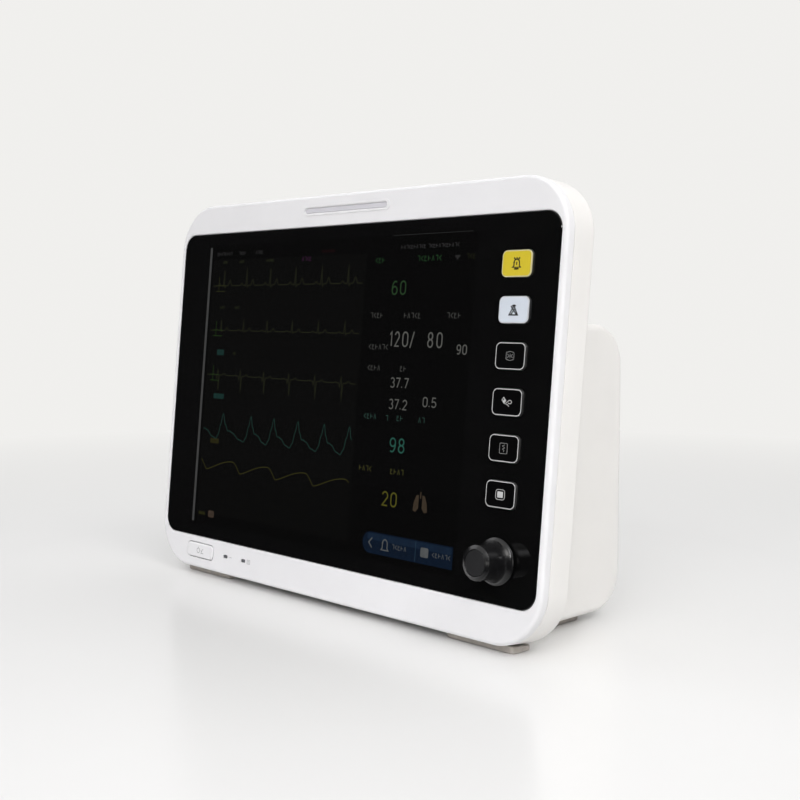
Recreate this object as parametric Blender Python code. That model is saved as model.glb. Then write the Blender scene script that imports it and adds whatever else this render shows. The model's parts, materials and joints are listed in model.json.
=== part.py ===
"""A bedside patient monitor: leaning glass front, rear housing, and all that it holds.

World frame in metres: +X to the right of a person who faces the screen, +Y to the back, +Z up.
The origin is on the table, under the middle of the bounding box.

The front panel leans back, so its pieces are modelled upright in the panel's own frame, an
empty whose X runs right, whose Y runs into the panel from its front face, and whose Z runs up
the panel from its bottom edge. Pieces of the housing behind it are modelled in world axes.
"""

import math

import bmesh
import bpy
from mathutils import Matrix, Vector

# ---------------------------------------------------------------- driving dimensions
PANEL_WIDTH = 0.4135
PANEL_HEIGHT = 0.300
PANEL_CORNER = 0.038
LEAN = math.radians(5.7)  # the panel's tilt from upright
BEZEL_DEPTH = 0.007  # from the front face to the seam
RIM_BACK = 0.0285  # from the front face to the back of the rim
WALL = 0.0028  # housing wall
GAP = 0.0003  # clearance between pieces that touch
SLIP = 0.0004  # clearance around pieces that slide

HUMP_WIDTH = 0.333
HUMP_BACK = 0.0795  # world Y of the flat back wall
HUMP_TOP = 0.2088
UNDERSIDE = 0.0058  # height of the housing's underside over the table
BODY_DEPTH = 0.143  # from the panel's bottom edge to the back wall
TOP_ROUND = 0.030
BOTTOM_ROUND = 0.028
SIDE_ROUND = 0.005

PANEL_FRONT = HUMP_BACK - BODY_DEPTH  # world Y of the panel's bottom edge
PANEL_BOTTOM = 0.0059  # world Z of that edge

GLASS_WIDTH = 0.4035
GLASS_HEIGHT = 0.250
GLASS_CORNER = 0.0125
GLASS_THICK = 0.0018
GLASS_BOTTOM = 0.026  # up the panel
GLASS_FRONT = 0.0003  # the glass sits this far behind the bezel's face
GLASS_MIDDLE = GLASS_BOTTOM + GLASS_HEIGHT / 2
LEDGE_FRONT = 0.0035
LEDGE_BACK = 0.0055
LEDGE_REACH = 0.0045  # how far the ledge comes in behind the glass
FLANGE_FRONT = 0.0058  # the buttons' and lenses' flanges sit behind the bezel
FLANGE_BACK = 0.0068
CUT_CLEAR = 0.001  # how far a cutter runs past the face it cuts through

KEY_COLUMN = 0.1688  # X of the key column and of the knob
TOP_KEY = 0.2432  # up the panel, to the middle of the top key
KEY_PITCH = 0.02942
KEY_WIDTH = 0.0250
KEY_HEIGHT = 0.01775
KEY_CORNER = 0.0040
KEY_PROUD = 0.0017
KEY_NAMES = ("alarm_pause", "alarm_silence", "freeze", "pressure_start", "record", "menu")

KNOB_UP = 0.0534
KNOB_RADIUS = 0.0113
SKIRT_RADIUS = 0.0153
KNOB_PROUD = 0.0210
KNOB_DISC = 0.0090  # radius of its flat front, inside the chamfer
KNOB_CHAMFER = 0.0012  # how far back the chamfer reaches
KNOB_FLARE_START = -0.0120  # where the skirt starts to spread, in front of the face
KNOB_FLARE_LENGTH = 0.0104

BUTTON_X = -0.1505
LOW_ROW = 0.0145  # up the panel, to the power button and the two indicators
BUTTON_WIDTH = 0.0353
BUTTON_HEIGHT = 0.0118
BUTTON_CORNER = 0.0040
INDICATORS = {"led_pipe_mains": -0.1160, "led_pipe_battery": -0.0927}
INDICATOR_WIDTH = 0.0045
INDICATOR_HEIGHT = 0.0030
INDICATOR_CORNER = 0.0009

LAMP_WIDTH = 0.092
LAMP_HEIGHT = 0.0058
LAMP_UP = 0.2885

SCREEN_X = -0.0168  # middle of the display
SCREEN_WIDTH = 0.317
SCREEN_HEIGHT = 0.237

SCREW_SPOTS = ((0.186, 0.015), (-0.186, 0.015), (0.186, 0.285), (-0.186, 0.285))
SCREW_SHANK = 0.0015
POST_RADIUS = 0.004

RECESS_HALF = 0.084  # half the width of the handle's recess
RECESS_FRONT = -0.0125
RECESS_REAR = 0.0475
RECESS_DEPTH = 0.014
HANDLE_AXIS_Y = 0.040
HANDLE_AXIS_Z = HUMP_TOP - 0.007
HANDLE_HALF = 0.080
HANDLE_REACH = 0.038  # from the hinge to the far side of the grip
HANDLE_BAR = 0.012
HANDLE_THICK = 0.0092
PIN_RADIUS = 0.002

DOOR_MIDDLE = 0.108  # X of the battery door
DOOR_WIDTH = 0.092
DOOR_LOW = 0.0375
DOOR_HIGH = 0.0835
DOOR_THICK = 0.0024
DOOR_AXIS_Z = DOOR_LOW + 0.0022
DOOR_AXIS_Y = HUMP_BACK - 0.0026
DOOR_PIN_RADIUS = 0.0010

PLATE_SIZE = 0.110
PLATE_MIDDLE = 0.1165
PLATE_THICK = 0.002
PLATE_HOLES = 0.050  # half the 100 mm pattern
PLATE_BORE = 0.0021
INLET_X = -0.118
STUD_X = -0.084
NETWORK_X = -0.030
USB_X = 0.0
PORT_ROW = 0.048
SPEAKER_X = 0.109
SPEAKER_Z = 0.1335
PUMP_X = -0.060
PUMP_Z = 0.0265

FOOT_WIDTH = 0.060
FOOT_DEPTH = 0.0185
FOOT_FROM_FACE = 0.0185  # from the panel's face to the middle of a front foot
FRONT_FOOT_X = 0.150
REAR_FOOT_X = 0.140
REAR_FOOT_Y = 0.033

SIDE_OPEN = (-0.012, 0.052)  # world Y of the socket panel's opening
SIDE_HEIGHT = (0.028, 0.176)
SIDE_WALL_X = -HUMP_WIDTH / 2

ROUND_STEPS = 32
CORNER_STEPS = 8


# ---------------------------------------------------------------- scene and materials
def clear_scene():
    for item in list(bpy.data.objects):
        bpy.data.objects.remove(item, do_unlink=True)


def material(name, color, roughness, metallic=0.0):
    made = bpy.data.materials.new(name)
    made.use_nodes = True
    shader = made.node_tree.nodes["Principled BSDF"]
    shader.inputs["Base Color"].default_value = (*color, 1.0)
    shader.inputs["Roughness"].default_value = roughness
    shader.inputs["Metallic"].default_value = metallic
    made.diffuse_color = (*color, 1.0)
    return made


def make_materials():
    return {
        "shell": material("shell", (0.86, 0.86, 0.85), 0.45),
        "bezel": material("bezel", (0.87, 0.87, 0.89), 0.40),
        "glass": material("glass", (0.012, 0.012, 0.014), 0.06),
        "display": material("display", (0.02, 0.02, 0.022), 0.30),
        "yellow": material("yellow", (0.70, 0.57, 0.03), 0.45),
        "white_key": material("white_key", (0.72, 0.77, 0.82), 0.45),
        "black_key": material("black_key", (0.015, 0.015, 0.017), 0.40),
        "knob": material("knob", (0.02, 0.02, 0.022), 0.35),
        "lens": material("lens", (0.60, 0.60, 0.62), 0.30),
        "light_pipe": material("light_pipe", (0.18, 0.18, 0.19), 0.30),
        "board": material("board", (0.03, 0.22, 0.09), 0.55),
        "steel": material("steel", (0.55, 0.56, 0.58), 0.35, 1.0),
        "dark": material("dark", (0.03, 0.03, 0.03), 0.60),
        "rubber": material("rubber", (0.05, 0.045, 0.04), 0.85),
        "socket_green": material("socket_green", (0.10, 0.38, 0.20), 0.45),
        "socket_blue": material("socket_blue", (0.08, 0.20, 0.50), 0.45),
        "socket_grey": material("socket_grey", (0.35, 0.36, 0.38), 0.45),
        "hose": material("hose", (0.75, 0.75, 0.72), 0.50),
        "battery": material("battery", (0.08, 0.10, 0.14), 0.50),
        "brass": material("brass", (0.72, 0.53, 0.22), 0.30, 1.0),
    }


# ---------------------------------------------------------------- shape tools
def outline(width, height, radius, steps=CORNER_STEPS):
    """Points of a rounded rectangle around the origin, as (across, up)."""
    points = []
    for quarter in range(4):
        sign_x = 1 if quarter in (0, 3) else -1
        sign_z = 1 if quarter in (0, 1) else -1
        for step in range(steps + 1):
            angle = math.pi / 2 * (quarter + step / steps)
            points.append(
                (
                    sign_x * (width / 2 - radius) + radius * math.cos(angle),
                    sign_z * (height / 2 - radius) + radius * math.sin(angle),
                )
            )
    return points


def closed_mesh(name, rings):
    """Skins a stack of rings of equal length; a ring of one point is a pole."""
    mesh_data = bmesh.new()
    made = [[mesh_data.verts.new(point) for point in ring] for ring in rings]
    for low, high in zip(made, made[1:]):
        count = max(len(low), len(high))
        for index in range(count):
            after = (index + 1) % count
            if len(low) == 1:
                corners = (low[0], high[index], high[after])
            elif len(high) == 1:
                corners = (low[index], high[0], low[after])
            else:
                corners = (low[index], high[index], high[after], low[after])
            mesh_data.faces.new(corners)
    for ring in (made[0], made[-1]):
        if len(ring) > 2:
            mesh_data.faces.new(ring)
    bmesh.ops.recalc_face_normals(mesh_data, faces=mesh_data.faces)
    mesh = bpy.data.meshes.new(name)
    mesh_data.to_mesh(mesh)
    mesh_data.free()
    return mesh


def slab(name, stations, steps=CORNER_STEPS):
    """A solid lofted through rounded rectangles: (depth, width, height, corner radius) each."""
    rings = [
        [(x, depth, z) for x, z in outline(width, height, radius, steps)]
        for depth, width, height, radius in stations
    ]
    return closed_mesh(name, rings)


def rounded(width, height, radius, front, back, front_round=0.0, back_round=0.0, steps=3):
    """Stations of a plate whose front and back edges are rounded off."""
    stations = []
    if front_round > 0:
        for step in range(steps):
            angle = math.pi / 2 * step / steps
            inset = front_round * (1 - math.sin(angle))
            depth = front + front_round * (1 - math.cos(angle))
            stations.append((depth, width - 2 * inset, height - 2 * inset, radius - inset))
    stations.append((front + front_round, width, height, radius))
    stations.append((back - back_round, width, height, radius))
    if back_round > 0:
        for step in range(1, steps + 1):
            angle = math.pi / 2 * step / steps
            inset = back_round * (1 - math.cos(angle))
            depth = back - back_round * (1 - math.sin(angle))
            stations.append((depth, width - 2 * inset, height - 2 * inset, radius - inset))
    return stations


def turned(name, profile, steps=ROUND_STEPS):
    """A solid of revolution about local Y through (radius, depth) points; radius 0 is a pole."""
    rings = []
    for radius, depth in profile:
        if radius == 0:
            rings.append([(0, depth, 0)])
        else:
            rings.append(
                [
                    (
                        radius * math.cos(2 * math.pi * k / steps),
                        depth,
                        radius * math.sin(2 * math.pi * k / steps),
                    )
                    for k in range(steps)
                ]
            )
    return closed_mesh(name, rings)


def rod(name, radius, front, back, steps=16):
    return turned(name, ((0, front), (radius, front), (radius, back), (0, back)), steps)


def box_mesh(name, low, high):
    """A plain block between two corners."""
    corners = [
        [(low[0], low[1], z), (high[0], low[1], z), (high[0], high[1], z), (low[0], high[1], z)]
        for z in (low[2], high[2])
    ]
    return closed_mesh(name, corners)


def joined(name, meshes):
    """One mesh that holds several closed bodies."""
    mesh_data = bmesh.new()
    for mesh in meshes:
        mesh_data.from_mesh(mesh)
        bpy.data.meshes.remove(mesh)
    mesh = bpy.data.meshes.new(name)
    mesh_data.to_mesh(mesh)
    mesh_data.free()
    return mesh


def moved(mesh, offset, turn=None):
    """The mesh shifted, after an optional rotation."""
    if turn is not None:
        mesh.transform(turn)
    mesh.transform(Matrix.Translation(offset))
    return mesh


def place(mesh, name, look=None, parent=None, location=(0, 0, 0), rotation=(0, 0, 0)):
    item = bpy.data.objects.new(name, mesh)
    bpy.context.scene.collection.objects.link(item)
    item.parent = parent
    item.location = location
    item.rotation_euler = rotation
    if look is not None:
        mesh.materials.append(look)
        mesh.shade_smooth()
        mesh.set_sharp_from_angle(angle=math.radians(35))
    return item


def tool(mesh, name, parent=None, location=(0, 0, 0), rotation=(0, 0, 0)):
    """A hidden shape that a boolean uses."""
    item = place(mesh, name, None, parent, location, rotation)
    item.hide_render = True
    item.display_type = "WIRE"
    return item


def combine(target, other, operation):
    modifier = target.modifiers.new(f"{operation.lower()}_{other.name}", "BOOLEAN")
    modifier.object = other
    modifier.operation = operation
    modifier.solver = "EXACT"


def cut(target, other):
    combine(target, other, "DIFFERENCE")


def add(target, other):
    combine(target, other, "UNION")


def on_panel(x, up, depth):
    """World place of a point in the panel's frame."""
    return Vector(
        (
            x,
            PANEL_FRONT + up * math.sin(LEAN) + depth * math.cos(LEAN),
            PANEL_BOTTOM + up * math.cos(LEAN) - depth * math.sin(LEAN),
        )
    )


def make_panel_frame():
    frame = bpy.data.objects.new("panel_frame", None)
    bpy.context.scene.collection.objects.link(frame)
    frame.location = (0, PANEL_FRONT, PANEL_BOTTOM)
    frame.rotation_euler = (-LEAN, 0, 0)
    return frame


# ---------------------------------------------------------------- front panel
def key_up(index):
    return TOP_KEY - index * KEY_PITCH


def make_bezel(panel, looks):
    middle = PANEL_HEIGHT / 2
    body = slab(
        "front_bezel",
        rounded(PANEL_WIDTH, PANEL_HEIGHT, PANEL_CORNER, 0, BEZEL_DEPTH, 0.0038, steps=4),
    )
    bezel = place(moved(body, (0, 0, middle)), "front_bezel", looks["bezel"], panel)

    inside = slab(
        "bezel_inside",
        rounded(
            PANEL_WIDTH - 2 * WALL,
            PANEL_HEIGHT - 2 * WALL,
            PANEL_CORNER - WALL,
            LEDGE_BACK,
            BEZEL_DEPTH + 0.004,
        ),
    )
    cut(bezel, tool(moved(inside, (0, 0, middle)), "bezel_inside", panel))

    pocket = slab(
        "glass_pocket",
        (
            (-0.0010, GLASS_WIDTH + 0.0036, GLASS_HEIGHT + 0.0036, GLASS_CORNER + 0.0018),
            (0.0004, GLASS_WIDTH + 2 * SLIP, GLASS_HEIGHT + 2 * SLIP, GLASS_CORNER + SLIP),
            (LEDGE_FRONT, GLASS_WIDTH + 2 * SLIP, GLASS_HEIGHT + 2 * SLIP, GLASS_CORNER + SLIP),
        ),
    )
    window = slab(
        "ledge_window",
        rounded(
            GLASS_WIDTH - 2 * LEDGE_REACH,
            GLASS_HEIGHT - 2 * LEDGE_REACH,
            GLASS_CORNER - LEDGE_REACH,
            LEDGE_FRONT - CUT_CLEAR,
            LEDGE_BACK + CUT_CLEAR,
        ),
    )
    for mesh in (pocket, window):
        cut(bezel, tool(moved(mesh, (0, 0, GLASS_MIDDLE)), mesh.name, panel))

    holes = [
        moved(
            slab(
                "button_hole",
                rounded(
                    BUTTON_WIDTH + 2 * SLIP,
                    BUTTON_HEIGHT + 2 * SLIP,
                    BUTTON_CORNER + SLIP,
                    -CUT_CLEAR,
                    LEDGE_BACK + CUT_CLEAR,
                ),
                4,
            ),
            (BUTTON_X, 0, LOW_ROW),
        ),
        moved(
            slab(
                "lamp_hole",
                rounded(
                    LAMP_WIDTH + 2 * SLIP,
                    LAMP_HEIGHT + 2 * SLIP,
                    LAMP_HEIGHT / 2,
                    -CUT_CLEAR,
                    LEDGE_BACK + CUT_CLEAR,
                ),
                5,
            ),
            (0, 0, LAMP_UP),
        ),
    ]
    for x in INDICATORS.values():
        hole = slab(
            "indicator_hole",
            rounded(
                INDICATOR_WIDTH + 2 * GAP,
                INDICATOR_HEIGHT + 2 * GAP,
                INDICATOR_CORNER + GAP,
                -CUT_CLEAR,
                LEDGE_BACK + CUT_CLEAR,
            ),
            3,
        )
        holes.append(moved(hole, (x, 0, LOW_ROW)))
    cut(bezel, tool(joined("bezel_holes", holes), "bezel_holes", panel))

    posts = []
    bores = []
    for x, up in SCREW_SPOTS:
        post = rod("post", POST_RADIUS, LEDGE_BACK - 0.001, RIM_BACK - WALL - GAP)
        posts.append(moved(post, (x, 0, up)))
        bore = rod("bore", SCREW_SHANK + GAP, 0.010, RIM_BACK, 12)
        bores.append(moved(bore, (x, 0, up)))
    add(bezel, tool(joined("screw_posts", posts), "screw_posts", panel))
    cut(bezel, tool(joined("screw_bores", bores), "screw_bores", panel))
    return bezel


def make_glass(panel, looks):
    back = GLASS_FRONT + GLASS_THICK
    body = slab(
        "glass_panel",
        rounded(GLASS_WIDTH, GLASS_HEIGHT, GLASS_CORNER, GLASS_FRONT, back, 0.0003, steps=1),
    )
    glass = place(moved(body, (0, 0, GLASS_MIDDLE)), "glass_panel", looks["glass"], panel)
    holes = []
    for index in range(len(KEY_NAMES)):
        hole = slab(
            "key_hole",
            rounded(
                KEY_WIDTH + 2 * SLIP,
                KEY_HEIGHT + 2 * SLIP,
                KEY_CORNER + SLIP,
                -CUT_CLEAR,
                back + CUT_CLEAR,
            ),
            4,
        )
        holes.append(moved(hole, (KEY_COLUMN, 0, key_up(index))))
    shaft_hole = rod("shaft_hole", 0.0052, -0.002, back + 0.002, 24)
    holes.append(moved(shaft_hole, (KEY_COLUMN, 0, KNOB_UP)))
    cut(glass, tool(joined("glass_holes", holes), "glass_holes", panel))

    gasket = slab(
        "glass_gasket",
        rounded(
            GLASS_WIDTH - 0.001,
            GLASS_HEIGHT - 0.001,
            GLASS_CORNER - 0.0005,
            back + GAP,
            LEDGE_FRONT - GAP,
        ),
        4,
    )
    seal = place(moved(gasket, (0, 0, GLASS_MIDDLE)), "glass_gasket", looks["dark"], panel)
    reach = LEDGE_REACH - 0.0005
    middle = slab(
        "gasket_window",
        rounded(
            GLASS_WIDTH - 2 * reach,
            GLASS_HEIGHT - 2 * reach,
            GLASS_CORNER - reach,
            back - CUT_CLEAR,
            LEDGE_FRONT + CUT_CLEAR,
        ),
        4,
    )
    cut(seal, tool(moved(middle, (0, 0, GLASS_MIDDLE)), "gasket_window", panel))


def make_display(panel, looks):
    """The display module: a thin box with a raised rim on its back."""
    front = GLASS_FRONT + GLASS_THICK + SLIP
    body = slab("lcd_module", rounded(SCREEN_WIDTH, SCREEN_HEIGHT, 0.002, front, 0.0122), 1)
    module = place(
        moved(body, (SCREEN_X, 0, GLASS_MIDDLE)), "lcd_module", looks["display"], panel
    )
    hollow = slab(
        "display_hollow",
        rounded(SCREEN_WIDTH - 0.020, SCREEN_HEIGHT - 0.020, 0.002, 0.0110, 0.0140),
        1,
    )
    cut(module, tool(moved(hollow, (SCREEN_X, 0, GLASS_MIDDLE)), "display_hollow", panel))

    plate_body = slab("chassis_plate", rounded(0.330, 0.236, 0.006, 0.0128, 0.0140), 2)
    plate = place(
        moved(plate_body, (SCREEN_X - 0.004, 0, GLASS_MIDDLE)),
        "chassis_plate",
        looks["steel"],
        panel,
    )
    windows = [
        moved(slab("w", rounded(0.036, 0.030, 0.006, 0.011, 0.016), 2), (x, 0, GLASS_MIDDLE))
        for x in (-0.120, 0.085)
    ]
    cut(plate, tool(joined("plate_windows", windows), "plate_windows", panel))
    standoffs = [
        moved(rod("s", 0.003, 0.0135, 0.0182, 12), (x, 0, up))
        for x in (-0.105, 0.075)
        for up in (0.080, 0.180)
    ]
    add(plate, tool(joined("standoffs", standoffs), "standoffs", panel))


def make_key(panel, looks, index):
    """A keycap: rounded cap, retaining flange behind the glass, and a stem to its switch."""
    look = ("yellow", "white_key")[index] if index < 2 else "black_key"
    back = GLASS_FRONT + GLASS_THICK + GAP
    cap = rounded(KEY_WIDTH, KEY_HEIGHT, KEY_CORNER, -KEY_PROUD, back, 0.0009, steps=2)
    flange = rounded(0.0286, 0.0206, 0.0046, back, back + 0.001)
    stem = rounded(0.005, 0.005, 0.0024, back + 0.001, 0.0046)
    mesh = slab(f"key_{KEY_NAMES[index]}", cap + flange + stem, 4)
    place(mesh, f"key_{KEY_NAMES[index]}", looks[look], panel, (KEY_COLUMN, 0, key_up(index)))


def make_keypad_board(panel, looks):
    """The board behind the keys, with one tactile switch for each and a seat for the encoder."""
    low = KNOB_UP - 0.015
    high = TOP_KEY + 0.014
    body = box_mesh("keypad_board", (KEY_COLUMN - 0.016, 0.0085, low), (0.1835, 0.0101, high))
    board = place(body, "keypad_board", looks["board"], panel)
    switches = []
    for index in range(len(KEY_NAMES)):
        switch = slab("switch", rounded(0.006, 0.006, 0.001, 0.0057, 0.0090), 1)
        switches.append(moved(switch, (KEY_COLUMN, 0, key_up(index))))
    chip = box_mesh("chip", (KEY_COLUMN - 0.006, 0.0095, 0.150), (KEY_COLUMN + 0.004, 0.0115, 0.160))
    plug = box_mesh("plug", (KEY_COLUMN - 0.009, 0.0095, 0.200), (KEY_COLUMN + 0.007, 0.0145, 0.206))
    add(board, tool(joined("switches", switches + [chip, plug]), "switches", panel))
    seat = rod("encoder_seat", 0.0028, 0.007, 0.012, 16)
    cut(board, tool(seat, "encoder_seat", panel, (KEY_COLUMN, 0, KNOB_UP)))


def make_encoder(panel, looks):
    """Body and bush on the board, a push plunger, the turning shaft, a nut and the knob."""
    at = (KEY_COLUMN, 0, KNOB_UP)
    back = GLASS_FRONT + GLASS_THICK
    body = place(
        slab("encoder_body", rounded(0.014, 0.014, 0.0015, back + 0.0012, 0.0082), 2),
        "encoder_body",
        looks["steel"],
        panel,
        at,
    )
    bush = rod("encoder_bush", 0.0045, -0.0042, back + 0.002, 24)
    add(body, tool(bush, "encoder_bush", panel, at))
    bore = rod("encoder_bore", 0.0033, -0.010, 0.010, 24)
    cut(body, tool(bore, "encoder_bore", panel, at))

    nut = place(
        turned(
            "encoder_nut",
            ((0.0048, -0.0018), (0.0075, -0.0018), (0.0075, -0.0001), (0.0048, -0.0001)),
            6,
        ),
        "encoder_nut",
        looks["steel"],
        panel,
        at,
    )
    cut(nut, tool(rod("nut_bore", 0.0048, -0.004, 0.002, 24), "nut_bore", panel, at))

    plunger = rod("encoder_plunger", 0.0024, 0.0063, 0.0125, 16)
    place(plunger, "encoder_plunger", looks["steel"], panel, at)
    shaft = rod("encoder_shaft", 0.0030, -0.0170, 0.0060, 24)
    place(shaft, "encoder_shaft", looks["steel"], panel, at)

    profile = [(0, -KNOB_PROUD), (KNOB_DISC, -KNOB_PROUD), (KNOB_RADIUS, KNOB_CHAMFER - KNOB_PROUD)]
    flare = SKIRT_RADIUS - KNOB_RADIUS
    for step in range(5):
        angle = math.pi / 2 * step / 4
        profile.append(
            (
                KNOB_RADIUS + flare * (1 - math.cos(angle)),
                KNOB_FLARE_START + KNOB_FLARE_LENGTH * math.sin(angle),
            )
        )
    profile += [
        (SKIRT_RADIUS, -0.0016),
        (SKIRT_RADIUS - 0.0006, -0.0011),
        (SKIRT_RADIUS - 0.0022, -0.0011),
        (SKIRT_RADIUS - 0.0040, -0.0050),
        (0.0052, -0.0050),
        (0.0052, -0.0100),
        (0.0033, -0.0100),
        (0.0033, -0.0174),
        (0, -0.0174),
    ]
    place(turned("control_knob", profile), "control_knob", looks["knob"], panel, at)


def make_low_row(panel, looks):
    """The power button, two indicator light pipes, and the little board behind them."""
    cap = rounded(BUTTON_WIDTH, BUTTON_HEIGHT, BUTTON_CORNER, -0.0008, FLANGE_FRONT, 0.0006, steps=2)
    wide = BUTTON_WIDTH + 0.0026
    high = BUTTON_HEIGHT + 0.0026
    flange = rounded(wide, high, BUTTON_CORNER + 0.0006, FLANGE_FRONT, FLANGE_BACK)
    stem = rounded(0.005, 0.005, 0.0024, FLANGE_BACK, 0.0092)
    place(
        slab("power_button", cap + flange + stem, 4),
        "power_button",
        looks["bezel"],
        panel,
        (BUTTON_X, 0, LOW_ROW),
    )
    for name, x in INDICATORS.items():
        lens = rounded(INDICATOR_WIDTH, INDICATOR_HEIGHT, INDICATOR_CORNER, 0.0002, FLANGE_FRONT)
        collar = rounded(0.0080, 0.0060, 0.0015, FLANGE_FRONT, FLANGE_BACK)
        tail = rounded(0.0040, 0.0030, 0.0008, FLANGE_BACK, 0.0115)
        place(slab(name, lens + collar + tail, 3), name, looks["light_pipe"], panel, (x, 0, LOW_ROW))

    board = place(
        box_mesh("power_button_board", (-0.174, 0.0138, 0.0065), (-0.086, 0.0150, 0.0215)),
        "power_button_board",
        looks["board"],
        panel,
    )
    bumps = [
        moved(slab("switch", rounded(0.006, 0.006, 0.001, 0.0105, 0.0142), 1), (BUTTON_X, 0, LOW_ROW))
    ]
    for x in INDICATORS.values():
        bump = slab("lamp", rounded(0.003, 0.002, 0.0004, 0.0122, 0.0142), 1)
        bumps.append(moved(bump, (x, 0, LOW_ROW)))
    add(board, tool(joined("button_switch", bumps), "button_switch", panel))


def make_alarm_lamp(panel, looks):
    """The light bar over the glass and its row of lamps."""
    corner = LAMP_HEIGHT / 2 - 0.0002
    lens = rounded(LAMP_WIDTH, LAMP_HEIGHT, corner, 0.0006, FLANGE_FRONT, 0.0006, steps=2)
    flange = rounded(0.0970, 0.0094, 0.0030, FLANGE_FRONT, FLANGE_BACK)
    place(slab("alarm_lens", lens + flange, 5), "alarm_lens", looks["lens"], panel, (0, 0, LAMP_UP))
    half = 0.005
    body = box_mesh("alarm_lamp_board", (-0.048, 0.0095, LAMP_UP - half), (0.048, 0.0107, LAMP_UP + half))
    board = place(body, "alarm_lamp_board", looks["board"], panel)
    lamps = [
        moved(slab("lamp", rounded(0.0035, 0.003, 0.0004, 0.0076, 0.0100), 1), (0.018 * k, 0, LAMP_UP))
        for k in range(-2, 3)
    ]
    add(board, tool(joined("alarm_lamps", lamps), "alarm_lamps", panel))


# ---------------------------------------------------------------- rear housing
def hump_profile(inset, start_depth):
    """Side outline of the rear box, as (Y, Z) points, pulled in from its walls by inset."""
    low = UNDERSIDE + inset
    high = HUMP_TOP - inset
    back = HUMP_BACK - inset
    points = []
    for height in (high, low):
        up = (height - PANEL_BOTTOM + start_depth * math.sin(LEAN)) / math.cos(LEAN)
        points.append((on_panel(0, up, start_depth).y, height))
    for radius, center_z, first in (
        (BOTTOM_ROUND - inset, low + BOTTOM_ROUND - inset, -90),
        (TOP_ROUND - inset, high - TOP_ROUND + inset, 0),
    ):
        for step in range(8):
            angle = math.radians(first + 90 * step / 7)
            points.append(
                (
                    back - radius + radius * math.cos(angle),
                    center_z + radius * math.sin(angle),
                )
            )
    return points


def hump_mesh(name, inset, start_depth):
    half = HUMP_WIDTH / 2 - inset
    side = hump_profile(inset, start_depth)
    rings = [[(x, y, z) for y, z in side] for x in (-half, half)]
    return closed_mesh(name, rings)


def soften_sides(item, width):
    """Rounds only the outlines of the two side walls."""
    modifier = item.modifiers.new("side_round", "BEVEL")
    modifier.limit_method = "ANGLE"
    modifier.angle_limit = math.radians(60)
    modifier.width = width
    modifier.segments = 3
    modifier.use_clamp_overlap = False


def slot_row(x_middle, z_low, count, pitch, width, height):
    """Horizontal slots through the back wall."""
    slots = []
    for index in range(count):
        slot = slab("slot", rounded(width, height, height / 2 - 0.0001, 0, 0.012), 2)
        slots.append(moved(slot, (x_middle, HUMP_BACK - 0.008, z_low + index * pitch)))
    return slots


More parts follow.
